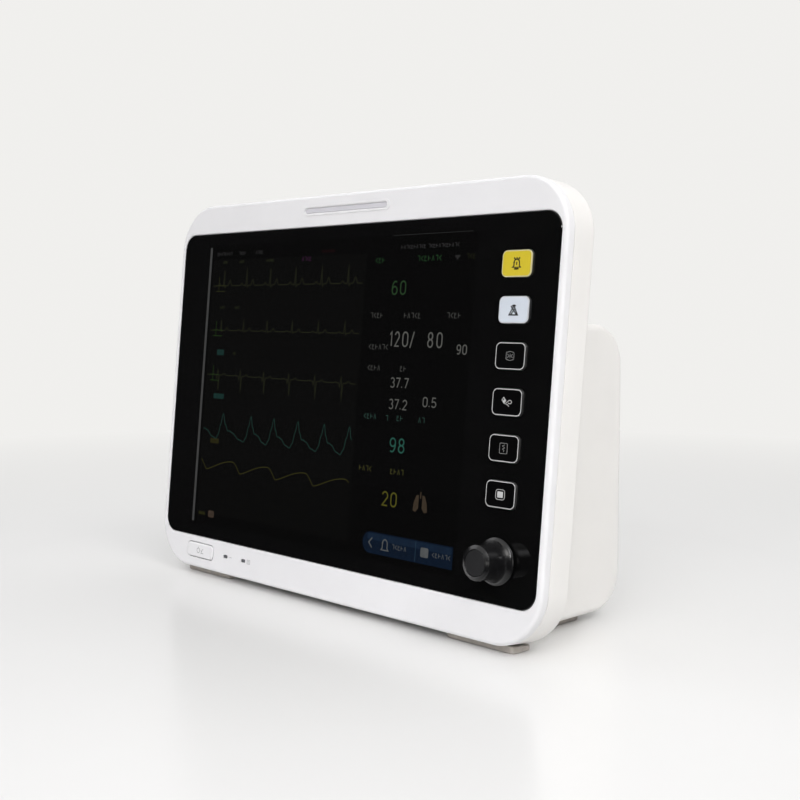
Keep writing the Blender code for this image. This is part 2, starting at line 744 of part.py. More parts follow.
def make_rear_cover(panel, looks):
    middle = PANEL_HEIGHT / 2
    rim = slab(
        "rear_cover",
        rounded(PANEL_WIDTH, PANEL_HEIGHT, PANEL_CORNER, BEZEL_DEPTH + SLIP, RIM_BACK, 0, 0.003),
    )
    cover = place(moved(rim, (0, 0, middle)), "rear_cover", looks["shell"], panel)
    box = tool(hump_mesh("hump_outside", 0.0, 0.015), "hump_outside")
    soften_sides(box, SIDE_ROUND)
    add(cover, box)

    inner_rim = slab(
        "rim_inside",
        rounded(
            PANEL_WIDTH - 2 * WALL,
            PANEL_HEIGHT - 2 * WALL,
            PANEL_CORNER - WALL,
            BEZEL_DEPTH - 0.003,
            RIM_BACK - WALL,
        ),
    )
    cut(cover, tool(moved(inner_rim, (0, 0, middle)), "rim_inside", panel))
    inner_box = tool(hump_mesh("hump_inside", WALL, 0.018), "hump_inside")
    soften_sides(inner_box, SIDE_ROUND - WALL)
    cut(cover, inner_box)

    floor = HUMP_TOP - RECESS_DEPTH
    tray = box_mesh(
        "recess_tray",
        (-RECESS_HALF - 0.012, RECESS_FRONT - WALL, floor - WALL),
        (RECESS_HALF + 0.012, RECESS_REAR + WALL, HUMP_TOP - 0.001),
    )
    pad = box_mesh(
        "plate_pad",
        (-0.060, HUMP_BACK - WALL - 0.003, PLATE_MIDDLE - 0.060),
        (0.060, HUMP_BACK - 0.001, PLATE_MIDDLE + 0.060),
    )
    add(cover, tool(joined("cover_blocks", [tray, pad]), "cover_blocks"))

    recess = box_mesh(
        "recess",
        (-RECESS_HALF, RECESS_FRONT, floor),
        (RECESS_HALF, RECESS_REAR, HUMP_TOP + 0.002),
    )
    plate_seat = slab(
        "plate_seat",
        rounded(
            PLATE_SIZE + 2 * GAP,
            PLATE_SIZE + 2 * GAP,
            0.005,
            HUMP_BACK - PLATE_THICK - GAP,
            HUMP_BACK + 0.002,
        ),
        3,
    )
    side_window = box_mesh(
        "side_window",
        (SIDE_WALL_X - 0.002, SIDE_OPEN[0], SIDE_HEIGHT[0]),
        (SIDE_WALL_X + 0.006, SIDE_OPEN[1], SIDE_HEIGHT[1]),
    )
    half_door = DOOR_WIDTH / 2 + SLIP
    door_window = box_mesh(
        "door_window",
        (DOOR_MIDDLE - half_door, HUMP_BACK - 0.012, DOOR_LOW - SLIP),
        (DOOR_MIDDLE + half_door, HUMP_BACK + 0.002, DOOR_HIGH + SLIP),
    )
    inlet_window = slab("inlet_window", rounded(0.0280, 0.0215, 0.002, 0, 0.012), 2)
    lan_window = slab("lan_window", rounded(0.0166, 0.0142, 0.0006, 0, 0.012), 1)
    usb_window = slab("usb_window", rounded(0.0150, 0.0078, 0.0006, 0, 0.012), 1)
    stud_hole = rod("stud_hole", 0.0034, 0, 0.012)
    rear = HUMP_BACK - 0.008
    holes = [
        recess,
        moved(plate_seat, (0, 0, PLATE_MIDDLE)),
        side_window,
        door_window,
        moved(inlet_window, (INLET_X, rear, PORT_ROW)),
        moved(lan_window, (NETWORK_X, rear, PORT_ROW)),
        moved(usb_window, (USB_X, rear, PORT_ROW)),
        moved(stud_hole, (STUD_X, rear, PORT_ROW)),
    ]
    cut(cover, tool(joined("cover_windows", holes), "cover_windows"))

    slots = slot_row(-0.110, 0.092, 9, 0.0088, 0.066, 0.0036)
    slots += slot_row(SPEAKER_X, SPEAKER_Z - 0.0155, 6, 0.0062, 0.036, 0.0024)
    cut(cover, tool(joined("cover_slots", slots), "cover_slots"))

    bores = []
    for sign in (-1, 1):
        bore = rod("pin_bore", PIN_RADIUS + GAP, 0, 0.014)
        bore.transform(Matrix.Rotation(-sign * math.pi / 2, 4, "Z"))
        bores.append(moved(bore, (sign * (RECESS_HALF - 0.005), HANDLE_AXIS_Y, HANDLE_AXIS_Z)))
        for up in (-PLATE_HOLES, PLATE_HOLES):
            thread = rod("thread", PLATE_BORE, HUMP_BACK - 0.0045, HUMP_BACK + 0.001, 12)
            bores.append(moved(thread, (sign * PLATE_HOLES, 0, PLATE_MIDDLE + up)))
    cut(cover, tool(joined("cover_bores", bores), "cover_bores"))

    screw_holes = []
    for x, up in SCREW_SPOTS:
        hole = turned(
            "screw_hole",
            (
                (0, RIM_BACK - 0.006),
                (SCREW_SHANK + GAP, RIM_BACK - 0.006),
                (SCREW_SHANK + GAP, RIM_BACK - 0.0012),
                (0.0034, RIM_BACK - 0.0012),
                (0.0034, RIM_BACK + 0.002),
                (0, RIM_BACK + 0.002),
            ),
            16,
        )
        screw_holes.append(moved(hole, (x, 0, up)))
    cut(cover, tool(joined("screw_holes", screw_holes), "screw_holes", panel))


def make_screws(panel, looks):
    for index, (x, up) in enumerate(SCREW_SPOTS):
        mesh = turned(
            f"cover_screw_{index + 1}",
            (
                (0, 0.0125),
                (SCREW_SHANK, 0.0125),
                (SCREW_SHANK, RIM_BACK - 0.0009),
                (0.0029, RIM_BACK - 0.0009),
                (0.0029, RIM_BACK + 0.0002),
                (0.0022, RIM_BACK + 0.0008),
                (0.0011, RIM_BACK + 0.0008),
                (0.0011, RIM_BACK - 0.0002),
                (0, RIM_BACK - 0.0002),
            ),
            12,
        )
        place(mesh, f"cover_screw_{index + 1}", looks["steel"], panel, (x, 0, up))


def make_handle(looks):
    """A carry handle that folds forward into its recess, hinged on two pins at the back."""
    mid = HANDLE_REACH / 2
    behind = 0.003  # how far the arms run past the hinge
    half = HANDLE_THICK / 2
    body = rounded(2 * HANDLE_HALF, HANDLE_REACH + 2 * behind, 0.009, -half, half)
    bail = slab("carry_handle", body, 4)
    bail.transform(Matrix.Rotation(-math.pi / 2, 4, "X"))
    bail = moved(bail, (0, -mid + behind, 0))
    at = (0, HANDLE_AXIS_Y, HANDLE_AXIS_Z)
    handle = place(bail, "carry_handle", looks["shell"], None, at)
    gap = slab(
        "handle_gap",
        rounded(2 * (HANDLE_HALF - HANDLE_BAR), HANDLE_REACH + 0.012, 0.006, -0.010, 0.010),
        4,
    )
    gap.transform(Matrix.Rotation(-math.pi / 2, 4, "X"))
    gap = moved(gap, (0, -mid + HANDLE_BAR + 0.006, 0))
    cut(handle, tool(gap, "handle_gap", None, at))
    modifier = handle.modifiers.new("grip_round", "BEVEL")
    modifier.limit_method = "ANGLE"
    modifier.angle_limit = math.radians(50)
    modifier.width = 0.0022
    modifier.segments = 2
    bores = []
    for sign in (-1, 1):
        bore = rod("arm_bore", PIN_RADIUS + GAP, 0, 0.020)
        bore.transform(Matrix.Rotation(-sign * math.pi / 2, 4, "Z"))
        bores.append(moved(bore, (sign * (HANDLE_HALF - HANDLE_BAR - 0.004), 0, 0)))
    cut(handle, tool(joined("arm_bores", bores), "arm_bores", None, at))
    for sign, side in ((-1, "left"), (1, "right")):
        name = f"handle_pin_{side}"
        pin = rod(name, PIN_RADIUS, 0, 0.0235)
        pin.transform(Matrix.Rotation(-sign * math.pi / 2, 4, "Z"))
        start = sign * (HANDLE_HALF - HANDLE_BAR + 0.0005)
        place(pin, name, looks["steel"], None, (start, HANDLE_AXIS_Y, HANDLE_AXIS_Z))


def make_feet(looks):
    """Rubber feet; the front pair is cut to the slope of the leaning panel's underside."""
    for sign, side in ((-1, "left"), (1, "right")):
        name = f"foot_rear_{side}"
        mesh = slab(name, rounded(0.030, 0.032, 0.006, 0, UNDERSIDE - GAP, 0.0008, 0, 2), 4)
        mesh.transform(Matrix.Rotation(math.pi / 2, 4, "X"))
        place(mesh, name, looks["rubber"], None, (sign * REAR_FOOT_X, REAR_FOOT_Y, 0))

        name = f"foot_front_{side}"
        low = outline(FOOT_WIDTH, FOOT_DEPTH, 0.004, 4)
        edge = 0.0006
        sole = outline(FOOT_WIDTH - 2 * edge, FOOT_DEPTH - 2 * edge, 0.004 - edge, 4)
        rings = [[(x, y, 0) for x, y in sole], [(x, y, edge) for x, y in low]]
        start = on_panel(0, 0, FOOT_FROM_FACE)
        top = []
        for x, y in low:
            under = start.z - y * math.tan(LEAN)
            top.append((x, y, under - GAP))
        rings.append(top)
        place(closed_mesh(name, rings), name, looks["rubber"], None, (sign * FRONT_FOOT_X, start.y, 0))


# ---------------------------------------------------------------- sockets and ports
SOCKETS = (
    # name, height, Y, outer radius, cavity radius, look
    ("ecg_socket", 0.154, 0.020, 0.0115, 0.0085, "socket_green"),
    ("oxygen_socket", 0.122, 0.020, 0.0100, 0.0072, "socket_blue"),
    ("temperature_socket_1", 0.094, 0.004, 0.0078, 0.0045, "socket_grey"),
    ("temperature_socket_2", 0.094, 0.036, 0.0078, 0.0045, "socket_grey"),
    ("cuff_port", 0.050, 0.020, 0.0095, 0.0045, "steel"),
)


def make_socket_panel(looks):
    """The plate in the left wall that carries the sensor sockets, with a lip behind the wall."""
    y_low, y_high = SIDE_OPEN
    z_low, z_high = SIDE_HEIGHT
    face = box_mesh(
        "socket_panel",
        (SIDE_WALL_X + 0.0006, y_low + SLIP, z_low + SLIP),
        (SIDE_WALL_X + 0.0052, y_high - SLIP, z_high - SLIP),
    )
    plate = place(face, "socket_panel", looks["dark"])
    lip = box_mesh(
        "panel_lip",
        (SIDE_WALL_X + WALL + SLIP, y_low - 0.004, z_low - 0.004),
        (SIDE_WALL_X + 0.0050, y_high + 0.004, z_high + 0.004),
    )
    add(plate, tool(lip, "panel_lip"))
    holes = []
    for name, height, y, outer, _cavity, _look in SOCKETS:
        hole = rod("socket_hole", outer - 0.0020 + SLIP, -0.01, 0.02, 20)
        hole.transform(Matrix.Rotation(-math.pi / 2, 4, "Z"))
        holes.append(moved(hole, (SIDE_WALL_X, y, height)))
    cut(plate, tool(joined("socket_holes", holes), "socket_holes"))


def make_sockets(looks):
    """Round sockets whose cavities open to the left, each with a keyed core."""
    for name, height, y, outer, cavity, look in SOCKETS:
        barrel = outer - 0.0020
        face = -0.0022
        profile = (
            (0, 0.0180),
            (barrel, 0.0180),
            (barrel, -GAP),
            (outer, -GAP),
            (outer, face + 0.0008),
            (outer - 0.0008, face),
            (cavity, face),
            (cavity, 0.0120),
            (cavity * 0.45, 0.0120),
            (cavity * 0.45, 0.0045),
            (0, 0.0045),
        )
        mesh = turned(name, profile, 20)
        mesh.transform(Matrix.Rotation(-math.pi / 2, 4, "Z"))
        place(mesh, name, looks[look], None, (SIDE_WALL_X + 0.0006, y, height))


def make_ports(looks):
    """The mains inlet, earth stud, network and USB ports in the back wall, and their board."""
    rear = HUMP_BACK - 0.0006
    inlet = place(
        slab("mains_inlet", rounded(0.0272, 0.0207, 0.0016, rear - 0.024, rear), 2),
        "mains_inlet",
        looks["dark"],
        None,
        (INLET_X, 0, PORT_ROW),
    )
    cavity = slab("inlet_cavity", rounded(0.0240, 0.0165, 0.004, rear - 0.018, rear + 0.002), 3)
    cut(inlet, tool(cavity, "inlet_cavity", None, (INLET_X, 0, PORT_ROW)))
    blades = []
    for x, z in ((-0.007, 0.002), (0.007, 0.002), (0.0, -0.003)):
        blade = box_mesh("blade", (-0.001, rear - 0.020, -0.002), (0.001, rear - 0.004, 0.002))
        blades.append(moved(blade, (x, 0, z)))
    add(inlet, tool(joined("inlet_blades", blades), "inlet_blades", None, (INLET_X, 0, PORT_ROW)))

    profile = (
        (0, -0.016),
        (0.0050, -0.016),
        (0.0050, -0.0036),
        (0.0030, -0.0036),
        (0.0030, -0.0002),
        (0, -0.0002),
    )
    stud = turned("earth_stud", profile, 16)
    place(stud, "earth_stud", looks["brass"], None, (STUD_X, HUMP_BACK, PORT_ROW))

    for name, x, width, height, depth in (
        ("network_port", NETWORK_X, 0.0160, 0.0136, 0.016),
        ("usb_port", USB_X, 0.0144, 0.0072, 0.014),
    ):
        port = place(
            slab(name, rounded(width, height, 0.0004, rear - depth, rear), 1),
            name,
            looks["steel"],
            None,
            (x, 0, PORT_ROW),
        )
        mouth = slab(
            f"{name}_mouth",
            rounded(width - 0.0020, height - 0.0020, 0.0003, rear - depth + 0.002, rear + 0.002),
            1,
        )
        cut(port, tool(mouth, f"{name}_mouth", None, (x, 0, PORT_ROW)))
    board = box_mesh("port_board", (-0.050, 0.030, 0.0390), (0.020, HUMP_BACK - 0.006, 0.0406))
    place(board, "port_board", looks["board"])


def make_mount_plate(looks):
    """A steel plate in the back wall with the 100 mm mounting pattern."""
    front = HUMP_BACK - PLATE_THICK
    plate = place(
        slab("mount_plate", rounded(PLATE_SIZE, PLATE_SIZE, 0.005, front, HUMP_BACK), 3),
        "mount_plate",
        looks["steel"],
        None,
        (0, 0, PLATE_MIDDLE),
    )
    holes = [
        moved(rod("hole", PLATE_BORE, front - 0.002, HUMP_BACK + 0.002, 12), (x, 0, z))
        for x in (-PLATE_HOLES, PLATE_HOLES)
        for z in (-PLATE_HOLES, PLATE_HOLES)
    ]
    cut(plate, tool(joined("plate_holes", holes), "plate_holes", None, (0, 0, PLATE_MIDDLE)))


# ---------------------------------------------------------------- battery
def make_battery(looks):
    """The battery, its bay, and the door that swings down on a pin along its lower edge."""
    bay_half = DOOR_WIDTH / 2 - 0.001
    bay_back = HUMP_BACK - WALL - 0.0012
    bay = place(
        box_mesh(
            "battery_bay",
            (DOOR_MIDDLE - bay_half, -0.004, DOOR_LOW + 0.0002),
            (DOOR_MIDDLE + bay_half, bay_back - 0.004, DOOR_HIGH - 0.0002),
        ),
        "battery_bay",
        looks["dark"],
    )
    hollow = box_mesh(
        "bay_hollow",
        (DOOR_MIDDLE - bay_half + 0.0018, -0.0020, DOOR_LOW + 0.0018),
        (DOOR_MIDDLE + bay_half - 0.0018, bay_back + 0.002, DOOR_HIGH - 0.0018),
    )
    cut(bay, tool(hollow, "bay_hollow"))
    width = 2 * bay_half - 0.0050
    height = DOOR_HIGH - DOOR_LOW - 0.0050
    pack = slab("battery_pack", rounded(width, height, 0.003, -0.0014, 0.0660, 0.001, 0.001, 2), 3)
    middle = (DOOR_MIDDLE, 0, (DOOR_LOW + DOOR_HIGH) / 2)
    place(pack, "battery_pack", looks["battery"], None, middle)

    axis = (DOOR_MIDDLE, DOOR_AXIS_Y, DOOR_AXIS_Z)
    low = DOOR_LOW - DOOR_AXIS_Z
    high = DOOR_HIGH - DOOR_AXIS_Z
    back = HUMP_BACK - DOOR_AXIS_Y - GAP
    half = DOOR_WIDTH / 2
    leaf = box_mesh("battery_door", (-half, back - DOOR_THICK, 0.0002), (half, back, high))
    door = place(leaf, "battery_door", looks["shell"], None, axis)
    knuckle = rod("door_knuckle", -low - 0.0001, -half, half, 16)
    knuckle.transform(Matrix.Rotation(-math.pi / 2, 4, "Z"))
    add(door, tool(knuckle, "door_knuckle", None, axis))
    tab = box_mesh(
        "door_tab",
        (-0.011, back - DOOR_THICK - 0.002, high - 0.007),
        (0.011, back - 0.001, high - 0.003),
    )
    add(door, tool(tab, "door_tab", None, axis))
    thumb = slab("thumb_scoop", rounded(0.020, 0.010, 0.0045, back - 0.0010, back + 0.002), 3)
    cut(door, tool(moved(thumb, (0, 0, high - 0.011)), "thumb_scoop", None, axis))
    bore = rod("door_bore", DOOR_PIN_RADIUS + GAP, -half - 0.002, half + 0.002, 12)
    bore.transform(Matrix.Rotation(-math.pi / 2, 4, "Z"))
    cut(door, tool(bore, "door_bore", None, axis))
    pin = rod("door_pin", DOOR_PIN_RADIUS, -half + 0.0005, half - 0.0005, 12)
    pin.transform(Matrix.Rotation(-math.pi / 2, 4, "Z"))
    place(pin, "door_pin", looks["steel"], None, axis)


# ---------------------------------------------------------------- electronics and pneumatics
def make_boards(panel, looks):
    """The main board behind the chassis plate, the sensor board and the power supply."""
    board = place(
        box_mesh("main_board", (-0.120, 0.0185, 0.070), (0.090, 0.0201, 0.190)),
        "main_board",
        looks["board"],
        panel,
    )
    parts = [
        box_mesh("processor", (-0.045, 0.0195, 0.115), (-0.010, 0.0225, 0.150)),
        box_mesh("memory", (0.010, 0.0195, 0.120), (0.030, 0.0215, 0.145)),
        box_mesh("plug_a", (-0.110, 0.0195, 0.085), (-0.085, 0.0270, 0.092)),
        box_mesh("plug_b", (0.045, 0.0195, 0.165), (0.080, 0.0270, 0.172)),
        box_mesh("plug_c", (0.045, 0.0195, 0.085), (0.062, 0.0270, 0.092)),
    ]
    add(board, tool(joined("main_board_parts", parts), "main_board_parts", panel))
    sink = box_mesh("heat_sink", (-0.042, 0.0220, 0.118), (-0.013, 0.0300, 0.147))
    add(board, tool(sink, "heat_sink", panel))

    inner = SIDE_WALL_X + 0.0192
    sensor = place(
        box_mesh("sensor_board", (inner, -0.008, 0.070), (inner + 0.0016, 0.050, 0.172)),
        "sensor_board",
        looks["board"],
    )
    shields = [
        box_mesh("shield_a", (inner + 0.001, 0.000, 0.128), (inner + 0.008, 0.040, 0.164)),
        box_mesh("shield_b", (inner + 0.001, 0.000, 0.084), (inner + 0.008, 0.040, 0.120)),
    ]
    add(sensor, tool(joined("shields", shields), "shields"))

    supply = place(
        box_mesh("power_supply", (0.065, 0.0400, 0.096), (0.150, 0.0416, 0.170)),
        "power_supply",
        looks["board"],
    )
    blocks = [
        box_mesh("transformer", (0.075, 0.018, 0.104), (0.100, 0.0410, 0.128)),
        box_mesh("sink", (0.140, 0.020, 0.104), (0.144, 0.0410, 0.160)),
        moved(rod("capacitor", 0.009, 0.016, 0.0405, 16), (0.120, 0, 0.150)),
        moved(rod("capacitor", 0.006, 0.022, 0.0405, 16), (0.117, 0, 0.118)),
    ]
    add(supply, tool(joined("supply_parts", blocks), "supply_parts"))


def make_pneumatics(looks):
    """The cuff pump and its valve, and the hose to the cuff port."""
    pump = place(
        moved(rod("cuff_pump", 0.0140, 0.0, 0.034, 24), (PUMP_X, 0.018, PUMP_Z)),
        "cuff_pump",
        looks["steel"],
    )
    head = box_mesh("pump_head", (PUMP_X - 0.0145, 0.002, 0.0120), (PUMP_X + 0.0145, 0.0185, 0.0412))
    add(pump, tool(head, "pump_head"))
    nozzle = rod("pump_nozzle", 0.0020, -0.0070, 0.003, 12)
    add(pump, tool(nozzle, "pump_nozzle", None, (PUMP_X, 0, PUMP_Z)))
    valve = place(
        box_mesh("cuff_valve", (-0.112, 0.004, 0.0120), (-0.094, 0.034, 0.0310)),
        "cuff_valve",
        looks["dark"],
    )
    nozzle = moved(rod("valve_nozzle", 0.0020, -0.0050, 0.0050, 12), (-0.103, 0, 0.0215))
    add(valve, tool(nozzle, "valve_nozzle"))
    route = (
        (-0.1455, 0.0200, 0.0500),
        (-0.1420, 0.0200, 0.0500),
        (-0.1340, 0.0185, 0.0490),
        (-0.1270, 0.0120, 0.0440),
        (-0.1220, 0.0020, 0.0370),
        (-0.1170, -0.0060, 0.0290),
        (-0.1100, -0.0105, 0.0230),
        (-0.0980, -0.0120, 0.0215),
        (-0.0850, -0.0125, 0.0225),
        (-0.0720, -0.0125, 0.0250),
        (-0.0600, -0.0120, 0.0265),
    )
    curve = bpy.data.curves.new("air_hose", "CURVE")
    curve.dimensions = "3D"
    curve.bevel_depth = 0.0024
    curve.bevel_resolution = 2
    curve.use_fill_caps = True
    spline = curve.splines.new("POLY")
    spline.points.add(len(route) - 1)
    for point, place_at in zip(spline.points, route):
        point.co = (*place_at, 1)
    curve.materials.append(looks["hose"])
    hose = bpy.data.objects.new("air_hose", curve)
    bpy.context.scene.collection.objects.link(hose)


def make_speaker(looks):
    """A round loudspeaker behind the slots in the back wall."""
    back = HUMP_BACK - WALL - 0.0006
    profile = (
        (0, back - 0.018),
        (0.0110, back - 0.018),
        (0.0110, back - 0.010),
        (0.0200, back - 0.003),
        (0.0225, back - 0.003),
        (0.0225, back),
        (0.0195, back),
        (0.0080, back - 0.006),
        (0, back - 0.0050),
    )
    place(turned("speaker", profile, 20), "speaker", looks["dark"], None, (SPEAKER_X, 0, SPEAKER_Z))


def main():
    clear_scene()
    looks = make_materials()
    panel = make_panel_frame()
    make_bezel(panel, looks)
    make_glass(panel, looks)
    make_display(panel, looks)
    for index in range(len(KEY_NAMES)):
        make_key(panel, looks, index)
    make_keypad_board(panel, looks)
    make_encoder(panel, looks)
    make_low_row(panel, looks)
    make_alarm_lamp(panel, looks)
    make_rear_cover(panel, looks)
    make_screws(panel, looks)
    make_handle(looks)
    make_feet(looks)
    make_socket_panel(looks)
    make_sockets(looks)
    make_ports(looks)
    make_mount_plate(looks)
    make_battery(looks)
    make_boards(panel, looks)
    make_pneumatics(looks)
    make_speaker(looks)


main()
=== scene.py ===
"""A bedside patient monitor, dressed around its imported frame.

The leaning front is built in the panel's own frame: X runs right, Y runs into the panel from its
front face, and Z runs up the panel from its bottom edge. Sizes are in metres, except on the screen
and in the icons, whose drawings are in millimetres.
"""

import json
import math

import bmesh
import bpy
from mathutils import Matrix, Vector


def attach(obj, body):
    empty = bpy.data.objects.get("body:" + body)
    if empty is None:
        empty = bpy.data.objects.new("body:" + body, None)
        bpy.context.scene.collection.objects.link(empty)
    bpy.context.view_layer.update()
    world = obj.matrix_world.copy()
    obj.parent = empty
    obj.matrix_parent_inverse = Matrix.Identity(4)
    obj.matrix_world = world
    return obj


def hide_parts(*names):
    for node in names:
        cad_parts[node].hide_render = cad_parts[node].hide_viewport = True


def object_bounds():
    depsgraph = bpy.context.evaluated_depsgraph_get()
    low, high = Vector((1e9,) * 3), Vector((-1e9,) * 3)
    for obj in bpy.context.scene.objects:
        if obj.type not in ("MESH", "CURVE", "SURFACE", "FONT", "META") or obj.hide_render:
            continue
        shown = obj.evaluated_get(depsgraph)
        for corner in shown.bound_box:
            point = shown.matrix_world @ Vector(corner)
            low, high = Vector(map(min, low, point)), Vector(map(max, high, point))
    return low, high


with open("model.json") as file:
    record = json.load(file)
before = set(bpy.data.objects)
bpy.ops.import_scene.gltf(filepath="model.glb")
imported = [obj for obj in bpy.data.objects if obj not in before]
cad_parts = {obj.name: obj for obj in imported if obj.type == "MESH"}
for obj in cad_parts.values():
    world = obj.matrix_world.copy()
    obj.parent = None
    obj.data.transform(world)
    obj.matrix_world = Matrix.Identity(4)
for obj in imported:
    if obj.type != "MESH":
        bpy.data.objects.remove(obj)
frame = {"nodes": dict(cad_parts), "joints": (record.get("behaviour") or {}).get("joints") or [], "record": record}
cad_low, cad_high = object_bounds()
nodes = frame["nodes"]

MM = 0.001
BACKDROP = (0.875, 0.868, 0.85, 1)

# ---------------------------------------------------------------- driving sizes
PANEL_CORNER = 0.038
FRONT_ROUND = 0.0026  # the soft edge around the bezel's face
BEZEL_DEPTH = 0.007
SEAM_ROUND = 0.0005  # the small rounding on both sides of the seam
WALL = 0.0028
LIP_ROUND = 0.0009  # the bezel's edge around the glass
GLASS_CORNER = 0.0125
LEDGE_DEPTH = 0.0035

KEY_WIDTH = 0.025
KEY_HEIGHT = 0.01775
KEY_CORNER = 0.004
KEY_EDGE = 0.0005
KEY_SINK = 0.0004  # how far a key's face lies behind the solid's front
KEY_RIM = 0.00105  # the pale rim around a light key's printed face
RING_OUT = 0.0003  # where a black key's pale ring starts, in from its edge
RING_IN = 0.00092  # and where it ends
KEYS = {  # the looks of each key's face, rim and icon
    "alarm_pause": ("yellow", "yellow_edge", "dark_print"),
    "alarm_silence": ("white_key", "white_edge", "dark_print"),
    "freeze": ("black_key", "key_ring", "dim_print"),
    "pressure_start": ("black_key", "key_ring", "light_print"),
    "record": ("black_key", "key_ring", "dim_print"),
    "menu": ("black_key", "key_ring", "light_print"),
}

BUTTON_WIDTH = 0.035
BUTTON_HEIGHT = 0.0114
BUTTON_CORNER = 0.0034
BUTTON_GAP = 0.00065

WINDOW_LEFT = 0.036  # the display's window, from the glass's left edge
WINDOW_TOP = 0.0097  # and from its top edge
WINDOW_WIDTH = 0.2985
WINDOW_HEIGHT = 0.229
TRACE_WIDTH = 0.1925  # the part of the window that holds the traces
INK = 0.00004  # thickness of one printed or lit layer

HUMP_WIDTH = 0.333
HUMP_BACK = 0.0795  # world Y of the flat back wall
HUMP_TOP = 0.2088
UNDERSIDE = 0.0058
TOP_ROUND = 0.03
BOTTOM_ROUND = 0.028
SIDE_ROUND = 0.005
RIM_BACK = 0.0285  # the rim's back, from the panel's face
PLATE_HOLE = 0.05  # the mounting holes, from the plate's middle
PIN_BORE = 0.0023
SOCKET_FLOOR = 0.0124  # how deep a socket's inner parts reach
PLATE_MIDDLE = 0.1165
PORT_ROW = 0.048
SOCKETS = {
    "ecg_socket": "socket_green",
    "oxygen_socket": "socket_blue",
    "temperature_socket_1": "socket_grey",
    "temperature_socket_2": "socket_grey",
    "cuff_port": "steel",
}

SCREWS = range(1, 5)
FINE = 48  # corner steps of the large outlines
SHARP = math.radians(32)


# ---------------------------------------------------------------- the panel's frame
def panel_placement():
    """The panel's own frame, from the keys' axis of travel and the bezel's outline."""
    press = next(joint for joint in frame["joints"] if joint["name"] == "menu_press")
    inward = Vector(press["axis"]).normalized()
    right = Vector((1, 0, 0))
    up = right.cross(inward)
    points = [vertex.co for vertex in nodes["front_bezel"].data.vertices]
    front = min(point.dot(inward) for point in points)
    bottom = min(point.dot(up) for point in points)
    turn = Matrix((right, inward, up)).transposed().to_4x4()
    return Matrix.Translation(inward * front + up * bottom) @ turn


PANEL = panel_placement()


def node_box(node, turn=Matrix()):
    """The lowest and highest corner of a CAD node in the world, or in another frame."""
    points = [turn @ vertex.co for vertex in nodes[node].data.vertices]
    return [Vector([pick(point[axis] for point in points) for axis in range(3)]) for pick in (min, max)]


def panel_box(node):
    return node_box(node, PANEL.inverted())


def panel_middle(node):
    """A CAD node's middle across and up the panel, on the panel's face."""
    low, high = panel_box(node)
    return Vector(((low.x + high.x) / 2, 0, (low.z + high.z) / 2))


def panel_place(node):
    return PANEL @ Matrix.Translation(panel_middle(node))


GLASS_LOW, GLASS_HIGH = panel_box("glass_panel")
GLASS_FACE = GLASS_LOW.y


# ---------------------------------------------------------------- shape tools
def outline(width, height, radius, steps=12):
    """Points of a rounded rectangle around the origin, as (across, up)."""
    points = []
    for quarter in range(4):
        sign_x = 1 if quarter in (0, 3) else -1
        sign_z = 1 if quarter in (0, 1) else -1
        for step in range(steps + 1):
            angle = math.pi / 2 * (quarter + step / steps)
            across = sign_x * (width / 2 - radius) + radius * math.cos(angle)
            rise = sign_z * (height / 2 - radius) + radius * math.sin(angle)
            points.append((across, rise))
    return points


def loft(rings):
    """A closed mesh through a stack of rings of equal length; a ring of one point is a pole."""
    work = bmesh.new()
    made = [[work.verts.new(point) for point in ring] for ring in rings]
    for low, high in zip(made, made[1:]):
        count = max(len(low), len(high))
        for index in range(count):
            after = (index + 1) % count
            if len(low) == 1:
                corners = (low[0], high[index], high[after])
            elif len(high) == 1:
                corners = (low[index], high[0], low[after])
            else:
                corners = (low[index], high[index], high[after], low[after])
            work.faces.new(corners)
    for ring in (made[0], made[-1]):
        if len(ring) > 2:
            work.faces.new(ring)
    return meshed(work)


def meshed(work):
    bmesh.ops.recalc_face_normals(work, faces=work.faces)
    mesh = bpy.data.meshes.new("shape")
    work.to_mesh(mesh)
    work.free()
    return mesh


def slab(stations, steps=12):
    """A solid through rounded rectangles: (depth, width, height, corner radius) each."""
    rings = []
    for depth, width, height, radius in stations:
        rings.append([(x, depth, z) for x, z in outline(width, height, radius, steps)])
    return loft(rings)


def grown(width, height, radius, *steps):
    """Stations of one rounded rectangle: (depth, how far its outline is let out) each."""
    return [(depth, width + 2 * out, height + 2 * out, radius + out) for depth, out in steps]


def quarter(steps):
    """A quarter round, as (1 - sine, 1 - cosine) of its angles."""
    angles = [math.pi / 2 * step / steps for step in range(steps + 1)]
    return [(1 - math.sin(angle), 1 - math.cos(angle)) for angle in angles]


def rounded(width, height, radius, front, back, front_round=0.0, back_round=0.0, steps=8):
    """Stations of a plate whose front and back edges are rounded off."""
    stations = [(front + front_round, 0), (back - back_round, 0)]
    if front_round > 0:
        stations[:0] = [(front + front_round * b, -front_round * a) for a, b in quarter(steps)[:-1]]
    if back_round > 0:
        stations += [(back - back_round * a, -back_round * b) for a, b in quarter(steps)[1:]]
    return grown(width, height, radius, *stations)


def mouth(width, height, radius, edge, back, steps=6):
    """Stations of a cutter that leaves a hole with a rounded edge in a face at depth 0."""
    lip = [(edge * b, edge * a) for a, b in quarter(steps)]
    return grown(width, height, radius, (-edge, edge), *lip, (back, 0))


def through(width, height, radius, edge, front, back, steps=6):
    """Stations of a cutter for a hole whose edges are rounded on both faces."""
    near = [(front + edge * b, edge * a) for a, b in quarter(steps)]
    far = [(back - edge * b, edge * a) for a, b in reversed(quarter(steps))]
    margin = 0.0005
    return grown(width, height, radius, (front - margin, edge), *near, *far, (back + margin, edge))


